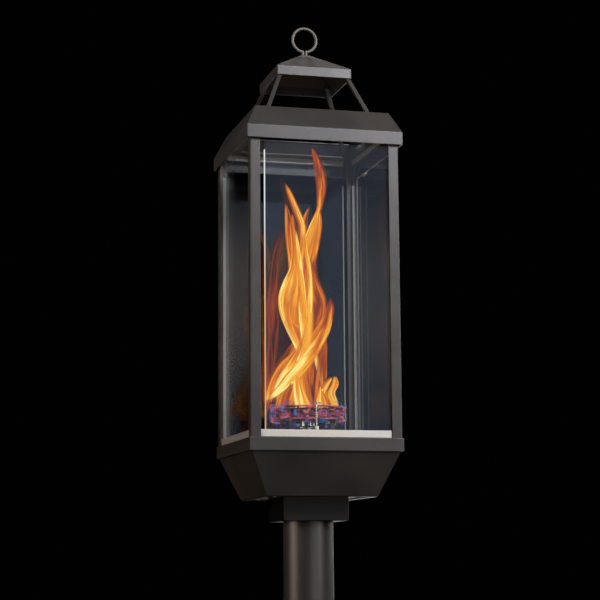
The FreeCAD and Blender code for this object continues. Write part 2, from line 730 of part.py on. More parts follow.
def control_knob():
    """A round knob with finger scallops and a raised pointer."""
    skirt = Part.makeCylinder(17.0, 4.0)
    skirt = skirt.makeFillet(1.4, [edge for edge in skirt.Edges if edge.Closed])
    grip = Part.makeCylinder(13.5, 14.0, Vector(0, 0, 3.0))
    crown = [edge for edge in grip.Edges if edge.Closed and edge.CenterOfMass.z > 10]
    grip = grip.makeFillet(1.6, crown)
    scallops = []
    for step in range(10):
        turn = math.radians(36 * step + 18)
        scallops.append(Part.makeCylinder(3.0, 20, Vector(15.6 * math.cos(turn),
                                                          15.6 * math.sin(turn), 4.4)))
    grip = grip.cut(Part.Compound(scallops))
    pointer = box(2.0, 11.0, -0.8, 0.8, 16.0, 17.8)
    whole = fuse([skirt, grip, pointer])
    whole = whole.cut(Part.makeCylinder(STEM_R, 10.6, Vector(0, 0, 0)))
    whole.Placement = FreeCAD.Placement(Vector(6.4, 0, 0), FreeCAD.Rotation(Z_AXIS, X_AXIS))
    return on_right_face(whole, KNOB_Y)


def igniter_body():
    """The push button igniter's barrel behind the face, with its battery cap."""
    barrel = rod(9.0, Vector(-42, 0, 0), Vector(0.0, 0, 0))
    grip_cap = rod(10.5, Vector(-40, 0, 0), Vector(-30, 0, 0))
    terminal = rod(2.0, Vector(-46, 0, 0), Vector(-42, 0, 0))
    bore = rod(7.1, Vector(-16, 0, 0), Vector(1, 0, 0))
    return on_right_face(fuse([barrel, grip_cap, terminal]).cut(bore), BUTTON_Y)


def igniter_bezel():
    ring = rod(12.0, Vector(0.1, 0, 0), Vector(3.6, 0, 0))
    face = [edge for edge in ring.Edges if edge.Closed and edge.CenterOfMass.x > 3]
    ring = ring.makeFillet(1.2, face)
    return on_right_face(ring.cut(rod(7.1, Vector(-1, 0, 0), Vector(9, 0, 0))), BUTTON_Y)


def igniter_button():
    button = rod(7.0 + RUNNING, Vector(-12, 0, 0), Vector(7.0, 0, 0))
    face = [edge for edge in button.Edges if edge.Closed and edge.CenterOfMass.x > 6]
    button = button.makeFillet(1.5, face)
    dish = Part.makeSphere(30, Vector(7.0 + 29.2, 0, 0))
    return on_right_face(button.cut(dish), BUTTON_Y)


def riser_elbow():
    """The fitting on top of the riser, with its outlet to the right."""
    block = slab(14.0, 6.0, 30.0)
    block = block.makeFillet(3.0, upright_edges(block))
    socket = Part.makeCylinder(RISER_R + RUNNING, 9, Vector(0, 0, 5.0))
    spigot = rod(7.0, Vector(13, 0, 21), Vector(20, 0, 21))
    duct = rod(3.0, Vector(0, 0, 21), Vector(30, 0, 21))
    well = Part.makeCylinder(5.0, 10, Vector(0, 0, 12.0))
    return fuse([block, spigot]).cut(Part.Compound([socket])).cut(duct.fuse(well))


def supply_tube():
    """The tube from the riser to the underside of the valve."""
    start = Vector(20, 0, 21)
    end = face_point(-30, KNOB_Y, -13)
    points = [start, Vector(44, 0, 21), face_point(-30, KNOB_Y, -27), end]
    return piped(points, 4.0, 3.0)


def outlet_tube():
    """The tube from the back of the valve to the side of the jet."""
    start = face_point(VALVE_BACK, KNOB_Y, 0)
    points = [start, face_point(VALVE_BACK - 13, KNOB_Y, 0), Vector(28, 0, 54), Vector(8.2, 0, 54)]
    return piped(points, 3.2, 2.2)


def igniter_lead():
    """The spark lead from the igniter's terminal to the foot of the electrode."""
    x, y = SPARK_AT
    start = face_point(-46, BUTTON_Y, 0)
    points = [start, face_point(-58, BUTTON_Y, 0), Vector(26, -38, 50), Vector(10, -54, 40),
              Vector(x, y, 44), Vector(x, y, 61.8)]
    return piped(points, 1.6)


def sensor_lead():
    """The thermocouple's copper lead from the back of the valve to the sensor."""
    x, y = SENSOR_AT
    start = face_point(VALVE_BACK, KNOB_Y, -8)
    points = [start, face_point(VALVE_BACK - 12, KNOB_Y, -8), Vector(20, 40, 30),
              Vector(-8, 52, 30), Vector(x, y, 36), Vector(x, y, 59.8)]
    return piped(points, 1.3)


# ---- access door -------------------------------------------------------------------------
def access_door():
    """The drop-down door over the hatch, with two curled barrels and a finger lip."""
    leaf = box(0.4, 1.9, -DOOR_HALF, DOOR_HALF, -DOOR_RISE, DOOR_RISE)
    corners = [edge for edge in leaf.Edges if abs(edge.Length - 1.5) < 0.01]
    leaf = leaf.makeFillet(3.0, corners)
    lip = box(1.4, 8.0, -14, 14, DOOR_RISE - 1.5, DOOR_RISE)
    lip = lip.makeFillet(3.0, [edge for edge in lip.Edges if abs(edge.Length - 1.5) < 0.01
                               and edge.CenterOfMass.x > 7])
    pieces = [leaf, lip]
    for start in (-49.6, 29.8):
        end = start + 19.8
        pieces.append(rod(BARREL_R, Vector(HINGE_OUT, start, HINGE_DROP),
                          Vector(HINGE_OUT, end, HINGE_DROP)))
        pieces.append(box(0.6, 1.9, start, end, HINGE_DROP, -DOOR_RISE + 1))
    holes = []
    for start in (-60.0, 20.0):
        holes.append(rod(PIN_R + RUNNING, Vector(HINGE_OUT, start, HINGE_DROP),
                         Vector(HINGE_OUT, start + 40, HINGE_DROP)))
    return on_back_face(fuse(pieces).cut(Part.Compound(holes)))


def door_hinge_pins():
    pins = []
    for start in (-54.5, 24.9):
        pins.append(rod(PIN_R, Vector(HINGE_OUT, start, HINGE_DROP),
                        Vector(HINGE_OUT, start + 29.6, HINGE_DROP)))
    return Part.Compound([on_back_face(pin) for pin in pins])


def door_magnet():
    """The magnet in the upper edge of the hatch that holds the door shut."""
    return on_back_face(box(-6.0, 0.2, -10, 10, HATCH_RISE - 5.0, HATCH_RISE - 0.1))


# ---- writing -----------------------------------------------------------------------------
def main():
    os.makedirs("parts", exist_ok=True)
    for maker in (base_plate, base_gussets, post_tube, gas_riser, inlet_coupling):
        write(maker.__name__, maker(), lifted=False)
    for maker in (post_collar, collar_set_screws, collar_bolts, hopper_shell, hopper_floor,
                  floor_screws, base_frame, end_clips, head_frame, roof_crown, roof_rods, cap,
                  finial_ring, burner_deck, swirl_cage, burner_head, burner_legs,
                  mixer_tube, orifice_holder, electrode_ceramic, spark_electrode, flame_sensor,
                  valve_body, valve_plunger, valve_stem, control_knob, igniter_body,
                  igniter_bezel, igniter_button, riser_elbow, supply_tube, outlet_tube,
                  igniter_lead, sensor_lead, access_door, door_hinge_pins, door_magnet):
        write(maker.__name__, maker())
    for quarter, side in enumerate(SIDES):
        write("glass_" + side, turned(pane(), quarter))
        write("foot_channel_" + side, turned(foot_channel(), quarter))
        write("head_channel_" + side, turned(head_channel(), quarter))
    for quarter, corner in enumerate(CORNERS):
        write("corner_post_" + corner, turned(corner_post(), quarter))
    for name, centre, way in thumbscrew_places():
        write(name, thumbscrew(centre, way))


main()
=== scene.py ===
"""Looks of a gas lantern torch: finishes for its metal, glass and burner parts, weld beads and the flame."""

import math

import bpy
import numpy as np
from bpy.props import FloatProperty, FloatVectorProperty, PointerProperty
from mathutils import Matrix, Vector


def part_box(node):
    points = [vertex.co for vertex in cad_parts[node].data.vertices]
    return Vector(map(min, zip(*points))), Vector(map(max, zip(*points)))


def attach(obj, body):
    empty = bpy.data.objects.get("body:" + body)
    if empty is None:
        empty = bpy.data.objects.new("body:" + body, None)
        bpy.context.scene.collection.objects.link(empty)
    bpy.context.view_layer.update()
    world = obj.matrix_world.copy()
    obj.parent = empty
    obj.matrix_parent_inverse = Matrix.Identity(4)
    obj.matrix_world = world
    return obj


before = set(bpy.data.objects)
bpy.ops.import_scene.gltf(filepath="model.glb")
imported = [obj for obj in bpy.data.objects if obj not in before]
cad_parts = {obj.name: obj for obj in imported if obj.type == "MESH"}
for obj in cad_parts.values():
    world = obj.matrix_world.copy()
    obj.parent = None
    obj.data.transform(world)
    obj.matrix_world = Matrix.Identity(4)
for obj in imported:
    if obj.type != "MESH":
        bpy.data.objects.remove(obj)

bl_info = {
    "name": "Gas Lantern Torch",
    "version": (1, 0, 0),
    "blender": (4, 5, 0),
    "location": "3D View > Sidebar > Torch",
    "description": "Finishes, flame and studio for a gas lantern torch on a post",
    "category": "Object",
}

MM = 0.001
LANTERN = "lantern"                  # the body that everything fixed rides on

HOPPER_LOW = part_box("hopper_shell")[0]
CAGE_LOW, CAGE_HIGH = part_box("swirl_cage")
PLATE_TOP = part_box("base_plate")[1].z
GUSSET_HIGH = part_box("base_gussets")[1]
PANE_LOW, PANE_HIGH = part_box("glass_front")
COLLAR_LOW, COLLAR_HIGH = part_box("post_collar")
RING_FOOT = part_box("finial_ring")[0].z

BURNER_RADIUS = CAGE_HIGH.x
POST_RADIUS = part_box("post_tube")[1].x
FLAME_BASE = Vector((0.0, 0.0, CAGE_HIGH.z))
GLASS_INNER = -PANE_HIGH.y - 0.0001  # the inner faces of the panes stand this far from the middle
EDGE_BEVEL = 0.0013                  # width of the ground strip beside a pane's open end
SEAL_DEPTH = 0.040                   # the head channel's seal covers this much of a pane's edges
GUSSET_HALF = 3.0 * MM               # half the thickness of a gusset's web
FLAME_DRAWN = 410.6                  # millimetres from the burner's rim to the tallest tip as drawn below

CAMERA_YAW = math.radians(14.66)     # the camera stands to the left of the front
CAMERA_PITCH = math.radians(8.61)    # and looks up
CAMERA_ROLL = math.radians(-0.42)
CAMERA_AWAY = 2.7094
CAMERA_LENS = 105.18                 # focal length in millimetres
CAMERA_AIM = Vector((-0.01024, 0.0, HOPPER_LOW.z + 0.30561))
SENSOR = 36.0                        # width of the camera's sensor in millimetres


class TorchSizes(bpy.types.PropertyGroup):
    """Sizes that a user would change."""

    flame_height: FloatProperty(
        name="Flame height", description="From the burner's rim to the tallest tip",
        default=FLAME_DRAWN * MM, min=0.1, max=0.42, subtype="DISTANCE", unit="LENGTH")
    coat_grain: FloatProperty(
        name="Coat grain", description="Size of the powder coat's texture",
        default=0.0011, min=0.0003, max=0.004, subtype="DISTANCE", unit="LENGTH")
    edge_round: FloatProperty(
        name="Edge round", description="Radius that shading gives to the folded sheet's edges",
        default=0.0009, min=0.0, max=0.003, subtype="DISTANCE", unit="LENGTH")
    weld_bead: FloatProperty(
        name="Weld bead", description="Radius of the fillet welds",
        default=0.0035, min=0.001, max=0.008, subtype="DISTANCE", unit="LENGTH")
    floor_radius: FloatProperty(
        name="Floor radius", description="Radius of the studio floor",
        default=45.0, min=4.0, max=50.0, subtype="DISTANCE", unit="LENGTH")


class TorchColours(bpy.types.PropertyGroup):
    """Colours that a user would change."""

    coat: FloatVectorProperty(
        name="Coat", description="Dark bronze powder coat", subtype="COLOR",
        size=3, min=0.0, max=1.0, default=(0.036, 0.0290, 0.0255))
    stainless: FloatVectorProperty(
        name="Stainless", description="Glass channels and other satin stainless", subtype="COLOR",
        size=3, min=0.0, max=1.0, default=(0.54, 0.515, 0.48))
    flame_hot: FloatVectorProperty(
        name="Hot flame", description="Brightest streaks of the flame", subtype="COLOR",
        size=3, min=0.0, max=1.0, default=(1.0, 0.82, 0.26))
    flame_cool: FloatVectorProperty(
        name="Cool flame", description="Tips and thin sheets of the flame", subtype="COLOR",
        size=3, min=0.0, max=1.0, default=(0.36, 0.050, 0.008))
    floor: FloatVectorProperty(
        name="Floor", description="Studio floor", subtype="COLOR",
        size=3, min=0.0, max=1.0, default=(0.62, 0.62, 0.61))


# ---------- shader maths

class Value:
    """A shader output that takes arithmetic: each operator adds a Math node."""

    def __init__(self, finish, socket):
        self.finish = finish
        self.socket = socket

    def _with(self, operation, first, second=None):
        """A Math node on one or two operands."""
        operands = [first] if second is None else [first, second]
        return self.finish.add("Math", {"operation": operation}, dict(enumerate(operands)))

    def __add__(self, other):
        return self._with("ADD", self, other)

    __radd__ = __add__

    def __sub__(self, other):
        return self._with("SUBTRACT", self, other)

    def __rsub__(self, other):
        return self._with("SUBTRACT", other, self)

    def __mul__(self, other):
        return self._with("MULTIPLY", self, other)

    __rmul__ = __mul__

    def __pow__(self, other):
        return self._with("POWER", self, other)

    def __abs__(self):
        return self._with("ABSOLUTE", self)

    def __gt__(self, other):
        return self._with("GREATER_THAN", self, other)

    def __lt__(self, other):
        return self._with("LESS_THAN", self, other)

    def output(self, name):
        """Another output of the node that this value comes from."""
        return Value(self.finish, self.socket.node.outputs[name])


class Finish:
    """The node tree of a new material, or of a light."""

    def __init__(self, what):
        self.owner = bpy.data.materials.new(what) if isinstance(what, str) else what
        self.owner.use_nodes = True
        self.tree = self.owner.node_tree
        self.tree.nodes.clear()

    def add(self, kind, settings=None, sockets=None, output=0):
        """Adds a node: its settings are set first, then its sockets get values or links."""
        node = self.tree.nodes.new("ShaderNode" + kind)
        for name, value in (settings or {}).items():
            if name == "stops":
                self._set_stops(node.color_ramp, value)
            else:
                setattr(node, name, value)
        for key, value in (sockets or {}).items():
            if isinstance(value, Value):
                self.tree.links.new(value.socket, node.inputs[key])
            elif isinstance(value, (tuple, list)) and node.inputs[key].type == "RGBA":
                node.inputs[key].default_value = (*value[:3], 1.0)
            else:
                node.inputs[key].default_value = value
        return Value(self, node.outputs[output]) if node.outputs else None

    @staticmethod
    def _set_stops(ramp, stops):
        while len(ramp.elements) < len(stops):
            ramp.elements.new(1.0)
        for element, (place, colour) in zip(ramp.elements, stops):
            element.position = place
            element.color = (*colour, 1.0)

    def here(self):
        """The piece's own coordinates, in metres."""
        return self.add("TexCoord", output="Object")

    def parts(self, vector):
        """The x, y and z of a vector."""
        split = self.add("SeparateXYZ", sockets={"Vector": vector})
        return split, split.output("Y"), split.output("Z")

    def join(self, x, y, z):
        """One vector from three values."""
        return self.add("CombineXYZ", sockets={"X": x, "Y": y, "Z": z})

    def stretched(self, vector, scale):
        """The coordinates scaled apart along each axis."""
        return self.add("VectorMath", {"operation": "MULTIPLY"}, {0: vector, 1: scale})

    def noise(self, vector, scale, detail=2.0, roughness=0.5, distortion=0.0):
        """Clouds about one over scale across, around a level of one half."""
        return self.add("TexNoise", sockets={
            "Vector": vector, "Scale": scale, "Detail": detail,
            "Roughness": roughness, "Distortion": distortion})

    def cells(self, vector, scale, output="Distance"):
        """Cells about one over scale across: the distance from a cell's middle, or its colour."""
        return self.add("TexVoronoi", sockets={"Vector": vector, "Scale": scale}, output=output)

    def step(self, value, low, high):
        """A smooth step of value: 0 at low and 1 at high, and low may be the larger."""
        return self.add("MapRange", {"interpolation_type": "SMOOTHSTEP"},
                        {"Value": value, "From Min": low, "From Max": high})

    def ramp(self, value, *stops):
        """Colours along a value, each stop a place and a colour."""
        return self.add("ValToRGB", {"stops": stops}, {"Fac": value})

    def blend(self, factor, first, second):
        """The first colour where factor is 0, the second where it is 1."""
        return self.add("Mix", {"data_type": "RGBA"}, {0: factor, 6: first, 7: second}, output=2)

    def bump(self, height, distance, strength=1.0, normal=None):
        """A normal tilted by a height that stands for the distance in metres."""
        sockets = {"Height": height, "Distance": distance, "Strength": strength}
        if normal is not None:
            sockets["Normal"] = normal
        return self.add("Bump", sockets=sockets)

    def rounded(self, radius):
        """A normal that runs smoothly over edges closer than the radius."""
        return self.add("Bevel", {"samples": 4}, {"Radius": radius})

    def worn_edge(self, radius):
        """One on the edges of a piece and nothing on its flats."""
        flat = self.add("NewGeometry", output="Normal")
        turn = self.add("VectorMath", {"operation": "DOT_PRODUCT"},
                        {0: flat, 1: self.rounded(radius)}, output="Value")
        return self.step(turn, 0.985, 0.80)

    def surface(self, **sockets):
        """The Principled shader, with its sockets named in words."""
        named = {name.replace("_", " ").title().replace("Ior", "IOR"): value
                 for name, value in sockets.items()}
        return self.add("BsdfPrincipled", sockets=named)

    def close(self, shader, kind="OutputMaterial"):
        """Links the shader to the output and hands over the material or light."""
        self.add(kind, sockets={"Surface": shader})
        return self.owner


# ---------- metal finishes

def dark_bronze_coat(sizes, colours):
    """Textured powder coat: fine sand grain over slow drifts, paler along the edges as rubbed wear and
    painted highlight, and painted nearly black on the collar as painted shade.
    """
    f = Finish("dark_bronze_coat")
    here = f.here()
    drift = f.noise(here, 9.0, 3.0)
    patches = f.noise(here, 46.0, 4.0, 0.6)
    grain = f.noise(here, 1.0 / sizes.coat_grain, 2.0, 0.55)
    specks = f.cells(here, 0.55 / sizes.coat_grain)
    edge = f.worn_edge(1.6 * sizes.edge_round) * f.step(patches, 0.30, 0.62)
    base = colours.coat
    pale = tuple(1.30 * c for c in base)
    deep = tuple(0.74 * c for c in base)
    tone = f.blend(f.step(drift, 0.3, 0.7), deep, pale)
    tone = f.blend(f.step(grain, 0.52, 0.75) * 0.35, tone, tuple(2.1 * c for c in base))
    # Paler edges: partly rubbed wear, partly a painted highlight along the folds and corners.
    tone = f.blend(edge * 0.6, tone, (0.16, 0.145, 0.135))
    dust = f.step(f.noise(here, 130.0, 3.0, 0.7), 0.60, 0.80)
    tone = f.blend(dust * 0.10, tone, (0.13, 0.12, 0.115))
    # Hands have rubbed the ring smooth and bright.
    x, y, z = f.parts(here)
    held = f.step(z, RING_FOOT + 0.001, RING_FOOT + 0.006)
    tone = f.blend(held * 0.8, tone, (0.20, 0.175, 0.15))
    # Painted shade: the collar, a casting that sits in the shadow under the hopper's overhang, is painted
    # nearly black and mirrors next to nothing.
    above = f.step(z, COLLAR_LOW.z - 0.0004, COLLAR_LOW.z - 0.0002)
    collar_band = above * f.step(z, COLLAR_HIGH.z, COLLAR_HIGH.z - 0.0004)
    reach = f.add("Math", {"operation": "MAXIMUM"}, {0: abs(x), 1: abs(y)})
    outside = f.step(reach, POST_RADIUS + 0.001, POST_RADIUS + 0.002)
    collar_painted_shade = collar_band * outside * (1.0 - edge)
    tone = f.blend(collar_painted_shade * 0.9, tone, (0.006, 0.005, 0.0045))
    rough = 0.25 + 0.12 * patches + 0.08 * grain - 0.06 * edge + 0.14 * held
    relief = f.bump((grain + 0.6 * specks) * (1.0 - held), 0.00010, 0.5, f.rounded(sizes.edge_round))
    return f.close(f.surface(base_color=tone, roughness=rough, metallic=0.15 + 0.6 * collar_painted_shade,
                             specular_ior_level=0.62, normal=relief))


def black_pipe(sizes, colours):
    """Varnished steel pipe, with mill streaks along it and rust at the ends."""
    f = Finish("black_pipe")
    here = f.here()
    streak = f.noise(f.stretched(here, (240.0, 240.0, 9.0)), 1.0, 3.0)
    rust = f.step(f.noise(here, 60.0, 5.0, 0.7), 0.58, 0.74)
    tone = f.blend(streak, (0.016, 0.016, 0.018), (0.050, 0.048, 0.048))
    tone = f.blend(rust * 0.6, tone, (0.13, 0.045, 0.018))
    return f.close(f.surface(base_color=tone, roughness=0.36 + 0.25 * rust + 0.08 * streak, metallic=0.3,
                             normal=f.bump(streak + rust, 0.00012, 0.5, f.rounded(sizes.edge_round))))


def plated(name, light, dark, rough, lines, sizes):
    """Plated or turned metal: cloudy tone, fine machining lines and a rounded edge."""
    f = Finish(name)
    here = f.here()
    cloud = f.noise(here, 70.0, 4.0, 0.6)
    line = f.noise(f.stretched(here, lines), 1.0, 2.0)
    spot = f.step(f.noise(here, 210.0, 4.0, 0.7), 0.62, 0.78)
    tone = f.blend(f.step(cloud, 0.3, 0.7), dark, light)
    tone = f.blend(spot * 0.35, tone, tuple(0.45 * c for c in dark))
    rough = rough + 0.14 * cloud + 0.16 * spot + 0.06 * line
    relief = f.bump(line, 0.00006, 0.45, f.rounded(0.6 * sizes.edge_round))
    return f.close(f.surface(base_color=tone, roughness=rough, metallic=1.0, normal=relief))


def zinc_steel(sizes, colours):
    """Bright zinc plate."""
    return plated("zinc_steel", (0.62, 0.62, 0.60), (0.44, 0.45, 0.47), 0.22, (300.0, 300.0, 900.0), sizes)


def bright_steel(sizes, colours):
    """Turned stainless."""
    return plated("bright_steel", (0.68, 0.67, 0.65), (0.52, 0.51, 0.50), 0.16, (120.0, 120.0, 1500.0), sizes)


def brass(sizes, colours):
    """Machined brass, a little tarnished."""
    return plated("brass", (0.74, 0.53, 0.22), (0.50, 0.33, 0.13), 0.20, (200.0, 200.0, 1200.0), sizes)


def copper(sizes, colours):
    """Drawn copper tube."""
    return plated("copper", (0.76, 0.36, 0.21), (0.44, 0.19, 0.11), 0.24, (90.0, 90.0, 90.0), sizes)


def chrome(sizes, colours):
    """Polished chrome."""
    return plated("chrome", (0.80, 0.81, 0.82), (0.70, 0.71, 0.73), 0.06, (500.0, 500.0, 500.0), sizes)


def galvanised_sheet(sizes, colours):
    """Galvanised sheet: flat crystals of different brightness."""
    f = Finish("galvanised_sheet")
    here = f.here()
    crystal = f.cells(here, 95.0, output="Color")
    tone, _, _ = f.parts(crystal)
    stain = f.noise(here, 24.0, 4.0, 0.6)
    colour = f.blend(tone, (0.30, 0.31, 0.33), (0.55, 0.56, 0.57))
    colour = f.blend(f.step(stain, 0.55, 0.75) * 0.5, colour, (0.25, 0.24, 0.23))
    return f.close(f.surface(base_color=colour, roughness=0.30 + 0.25 * tone, metallic=1.0,
                             normal=f.bump(tone, 0.00005, 0.4, f.rounded(0.7 * sizes.edge_round))))


def satin_stainless(sizes, colours):
    """Stainless brushed along its length, warmed by the flame's heat."""
    f = Finish("satin_stainless")
    here = f.here()
    x, y, z = f.parts(here)
    brushed = f.noise(f.join(x * 20.0, y * 20.0, z * 3800.0), 1.0, 3.0, 0.6)
    tint = f.noise(here, 16.0, 3.0)
    smudge = f.step(f.noise(here, 85.0, 4.0, 0.65), 0.55, 0.75)
    base = colours.stainless
    tone = f.blend(brushed, tuple(0.78 * c for c in base), tuple(min(1.0, 1.15 * c) for c in base))
    tone = f.blend(f.step(tint, 0.45, 0.75) * 0.4, tone, (0.60, 0.50, 0.36))
    rough = 0.42 + 0.14 * brushed + 0.12 * smudge
    relief = f.bump(brushed, 0.00005, 0.5, f.rounded(0.6 * sizes.edge_round))
    return f.close(f.surface(base_color=tone, roughness=rough, metallic=0.85, normal=relief))


def burner_steel(sizes, colours):
    """Heat-tinted burner steel: straw, violet and blue scale, with a red emission that is partly heat glow
    where flames touch it and partly painted highlight.
    """
    f = Finish("burner_steel")
    here = f.here()
    x, y, z = f.parts(here)
    scale = f.noise(here, 38.0, 5.0, 0.62)
    fine = f.noise(here, 320.0, 3.0)
    tint = f.ramp(scale, (0.28, (0.020, 0.017, 0.017)), (0.42, (0.095, 0.050, 0.036)),
                  (0.52, (0.085, 0.032, 0.046)), (0.62, (0.030, 0.038, 0.095)), (0.78, (0.24, 0.22, 0.21)))
    out = (x * x + y * y) ** 0.5
    rim = f.step(out, 0.80 * BURNER_RADIUS, 0.99 * BURNER_RADIUS)
    high = f.step(z, CAGE_LOW.z - 0.002, CAGE_LOW.z + 0.004)
    # The glow, partly heat glow and partly painted highlight, runs in thin slanting streaks; along the cage's
    # two rims it is a painted highlight.
    streaks = f.noise(f.join(x * 20.0, y * 20.0, z * 230.0 + x * 50.0), 1.0, 2.0, 0.5, 1.6)
    rim_highlight = f.step(abs(z - CAGE_HIGH.z), 0.0030, 0.0008) + f.step(abs(z - CAGE_LOW.z), 0.0030, 0.0008)
    patch = f.step(f.noise(here, 42.0, 2.0), 0.36, 0.60)
    heat_glow_and_highlight = rim * high * f.step(streaks, 0.50, 0.58) * 0.95 + rim_highlight * rim * patch * 0.6
    # Colour of the heat glow and of the painted highlights.
    heat = f.blend(f.step(patch + 0.4 * fine, 0.2, 1.0), (0.55, 0.020, 0.022), (0.92, 0.20, 0.16))
    emitted = f.blend(heat_glow_and_highlight, (0.0, 0.0, 0.0), heat)
    relief = f.bump(scale + 0.4 * fine, 0.00015, 0.5, f.rounded(0.5 * sizes.edge_round))
    return f.close(f.surface(base_color=tint, roughness=0.34 + 0.3 * scale, metallic=0.9,
                             emission_color=emitted, emission_strength=0.75, normal=relief))


# ---------- other finishes

def white_ceramic(sizes, colours):
    """Glazed ceramic, sooted near the burner."""
    f = Finish("white_ceramic")
    here = f.here()
    _, _, z = f.parts(here)
    soot = f.step(z, CAGE_LOW.z - 0.012, CAGE_LOW.z + 0.002) * f.step(f.noise(here, 220.0, 4.0), 0.35, 0.65)
    tone = f.blend(f.noise(here, 60.0, 3.0), (0.80, 0.77, 0.71), (0.88, 0.86, 0.82))
    tone = f.blend(soot * 0.75, tone, (0.10, 0.085, 0.075))
    return f.close(f.surface(base_color=tone, roughness=0.18 + 0.4 * soot, coat_weight=0.4,
                             normal=f.bump(f.noise(here, 500.0, 2.0), 0.00004, 0.4)))


def moulded(name, light, dark, rough, sizes):
    """Moulded plastic with a spark-eroded grain and scuffs."""
    f = Finish(name)
    here = f.here()
    grain = f.noise(here, 1500.0, 2.0)
    scuff = f.step(f.noise(f.stretched(here, (60.0, 260.0, 160.0)), 1.0, 4.0, 0.6), 0.56, 0.74)
    tone = f.blend(grain, dark, light)
    tone = f.blend(scuff * 0.25, tone, tuple(min(1.0, 2.2 * c + 0.02) for c in light))
    return f.close(f.surface(base_color=tone, roughness=rough + 0.12 * grain + 0.12 * scuff,
                             normal=f.bump(grain, 0.00006, 0.5, f.rounded(sizes.edge_round))))


def black_plastic(sizes, colours):
    """Heat-proof moulded plastic."""
    return moulded("black_plastic", (0.040, 0.040, 0.041), (0.022, 0.022, 0.023), 0.42, sizes)


def red_plastic(sizes, colours):
    """Glossy red button."""
    return moulded("red_plastic", (0.50, 0.030, 0.022), (0.38, 0.018, 0.014), 0.22, sizes)


def lead_sleeve(sizes, colours):
    """Woven glass-fibre sleeve over the leads."""
    f = Finish("lead_sleeve")
    here = f.here()
    weave = f.cells(here, 900.0)
    tone = f.blend(f.step(weave, 0.1, 0.6), (0.20, 0.19, 0.18), (0.055, 0.052, 0.050))
    return f.close(f.surface(base_color=tone, roughness=0.62 + 0.2 * weave,
                             normal=f.bump(weave, 0.0002, 0.7)))


def magnet(sizes, colours):
    """Ferrite in a steel cup."""
    return moulded("magnet", (0.115, 0.112, 0.118), (0.070, 0.070, 0.074), 0.38, sizes)


def tempered_glass(sizes, colours):
    """Clear pane: mirror gloss by Fresnel, faint haze, and ground edges that glow with painted light."""
    f = Finish("tempered_glass")
    here = f.here()
    nx, ny, _ = f.parts(f.add("NewGeometry", output="Normal"))
    x, y, z = f.parts(here)
    # The front and back panes lie beyond this distance along Y, the other two along X.
    faces_y = abs(y) > GLASS_INNER
    flat = faces_y * abs(ny) + (1 - faces_y) * abs(nx)
    # Along each pane, from its open end: x at the front, y on the right, and so on round.
    run = f.add("Math", {"operation": "SIGN"}, {0: x}) * y * (1 - faces_y)
    run = run - f.add("Math", {"operation": "SIGN"}, {0: y}) * x * faces_y
    ground = f.step(run, PANE_LOW.x + EDGE_BEVEL, PANE_LOW.x + 0.4 * EDGE_BEVEL)
    seal = PANE_HIGH.z - SEAL_DEPTH
    bare = f.step(z, seal + 0.002, seal - 0.002)
    edge = f.add("Math", {"operation": "MAXIMUM"}, {0: flat < 0.5, 1: ground}) * bare
    back = f.add("NewGeometry", output="Backfacing")
    mirror = f.add("Fresnel", sockets={"IOR": 1.52 - (1.52 - 1.0 / 1.52) * back})
    smear = f.step(f.noise(f.stretched(here, (26.0, 26.0, 5.0)), 1.0, 5.0, 0.62), 0.50, 0.80)
    # Painted light: the front pane's edges glow as if they carried the flame's light, warm below and pale
    # above; the others glow dimly.
    high = f.step(z, PANE_LOW.z + 0.14, PANE_HIGH.z - 0.06)
    painted_edge_glow = f.blend(high, (0.66, 0.33, 0.15), (0.74, 0.80, 0.80))
    painted_edge_glow = f.blend(faces_y * (y < 0.0), (0.030, 0.034, 0.036), painted_edge_glow)
    pane = f.surface(
        base_color=f.blend(edge, (0.93, 0.96, 0.97), (0.30, 0.32, 0.32)), metallic=1.0 - edge,
        roughness=0.012 + 0.03 * smear + 0.3 * edge, emission_color=f.blend(edge, (0.0, 0.0, 0.0), painted_edge_glow),
        emission_strength=1.0)
    clear = f.add("BsdfTransparent", sockets={"Color": (0.965, 0.975, 0.975)})
    cover = f.add("Math", {"operation": "MAXIMUM"}, {0: mirror + 0.012 * smear, 1: 0.86 * edge})
    return f.close(f.add("MixShader", sockets={0: cover, 1: clear, 2: pane}))


def slot_of(material):
    """The record's slot that a packed material stands for."""
    return material.name.split(".")[0]


def finish_nodes(context, makers):
    """Gives the frame nodes of each maker's slot their finish, and fails if a slot has no node."""
    for maker in makers:
        slot = maker.__name__
        nodes = [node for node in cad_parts.values() if slot_of(node.data.materials[0]) == slot]
        if not nodes:
            raise RuntimeError(f"no part carries the finish {slot}")
        material = maker(context.scene.torch_sizes, context.scene.torch_colours)
        for node in nodes:
            for place, held in enumerate(node.data.materials):
                if slot_of(held) == slot:
                    node.data.materials[place] = material


def quads(along, across, closed, start=0):
    """The faces between the points of a grid, which are numbered row by row from start. In a closed
    grid each row's last point joins its first."""
    index = np.arange(along * across).reshape(along, across) + start
    if closed:
        index = np.concatenate([index, index[:, :1]], axis=1)
    corners = [index[:-1, :-1], index[:-1, 1:], index[1:, 1:], index[1:, :-1]]
    return np.stack(corners, axis=-1).reshape(-1, 4)


def mesh_object(name, points, faces, material, vectors=None):
    """A smooth mesh object at the origin, with the named vectors on its points."""
    mesh = bpy.data.meshes.new(name)
    mesh.from_pydata(points.tolist(), [], faces.tolist())
    for key, values in (vectors or {}).items():
        held = mesh.attributes.new(key, "FLOAT_VECTOR", "POINT")
        held.data.foreach_set("vector", np.asarray(values, np.float32).ravel())
    mesh.polygons.foreach_set("use_smooth", np.ones(len(mesh.polygons), bool))
    mesh.materials.append(material)
    made = bpy.data.objects.new(name, mesh)
    bpy.context.scene.collection.objects.link(made)
    return made


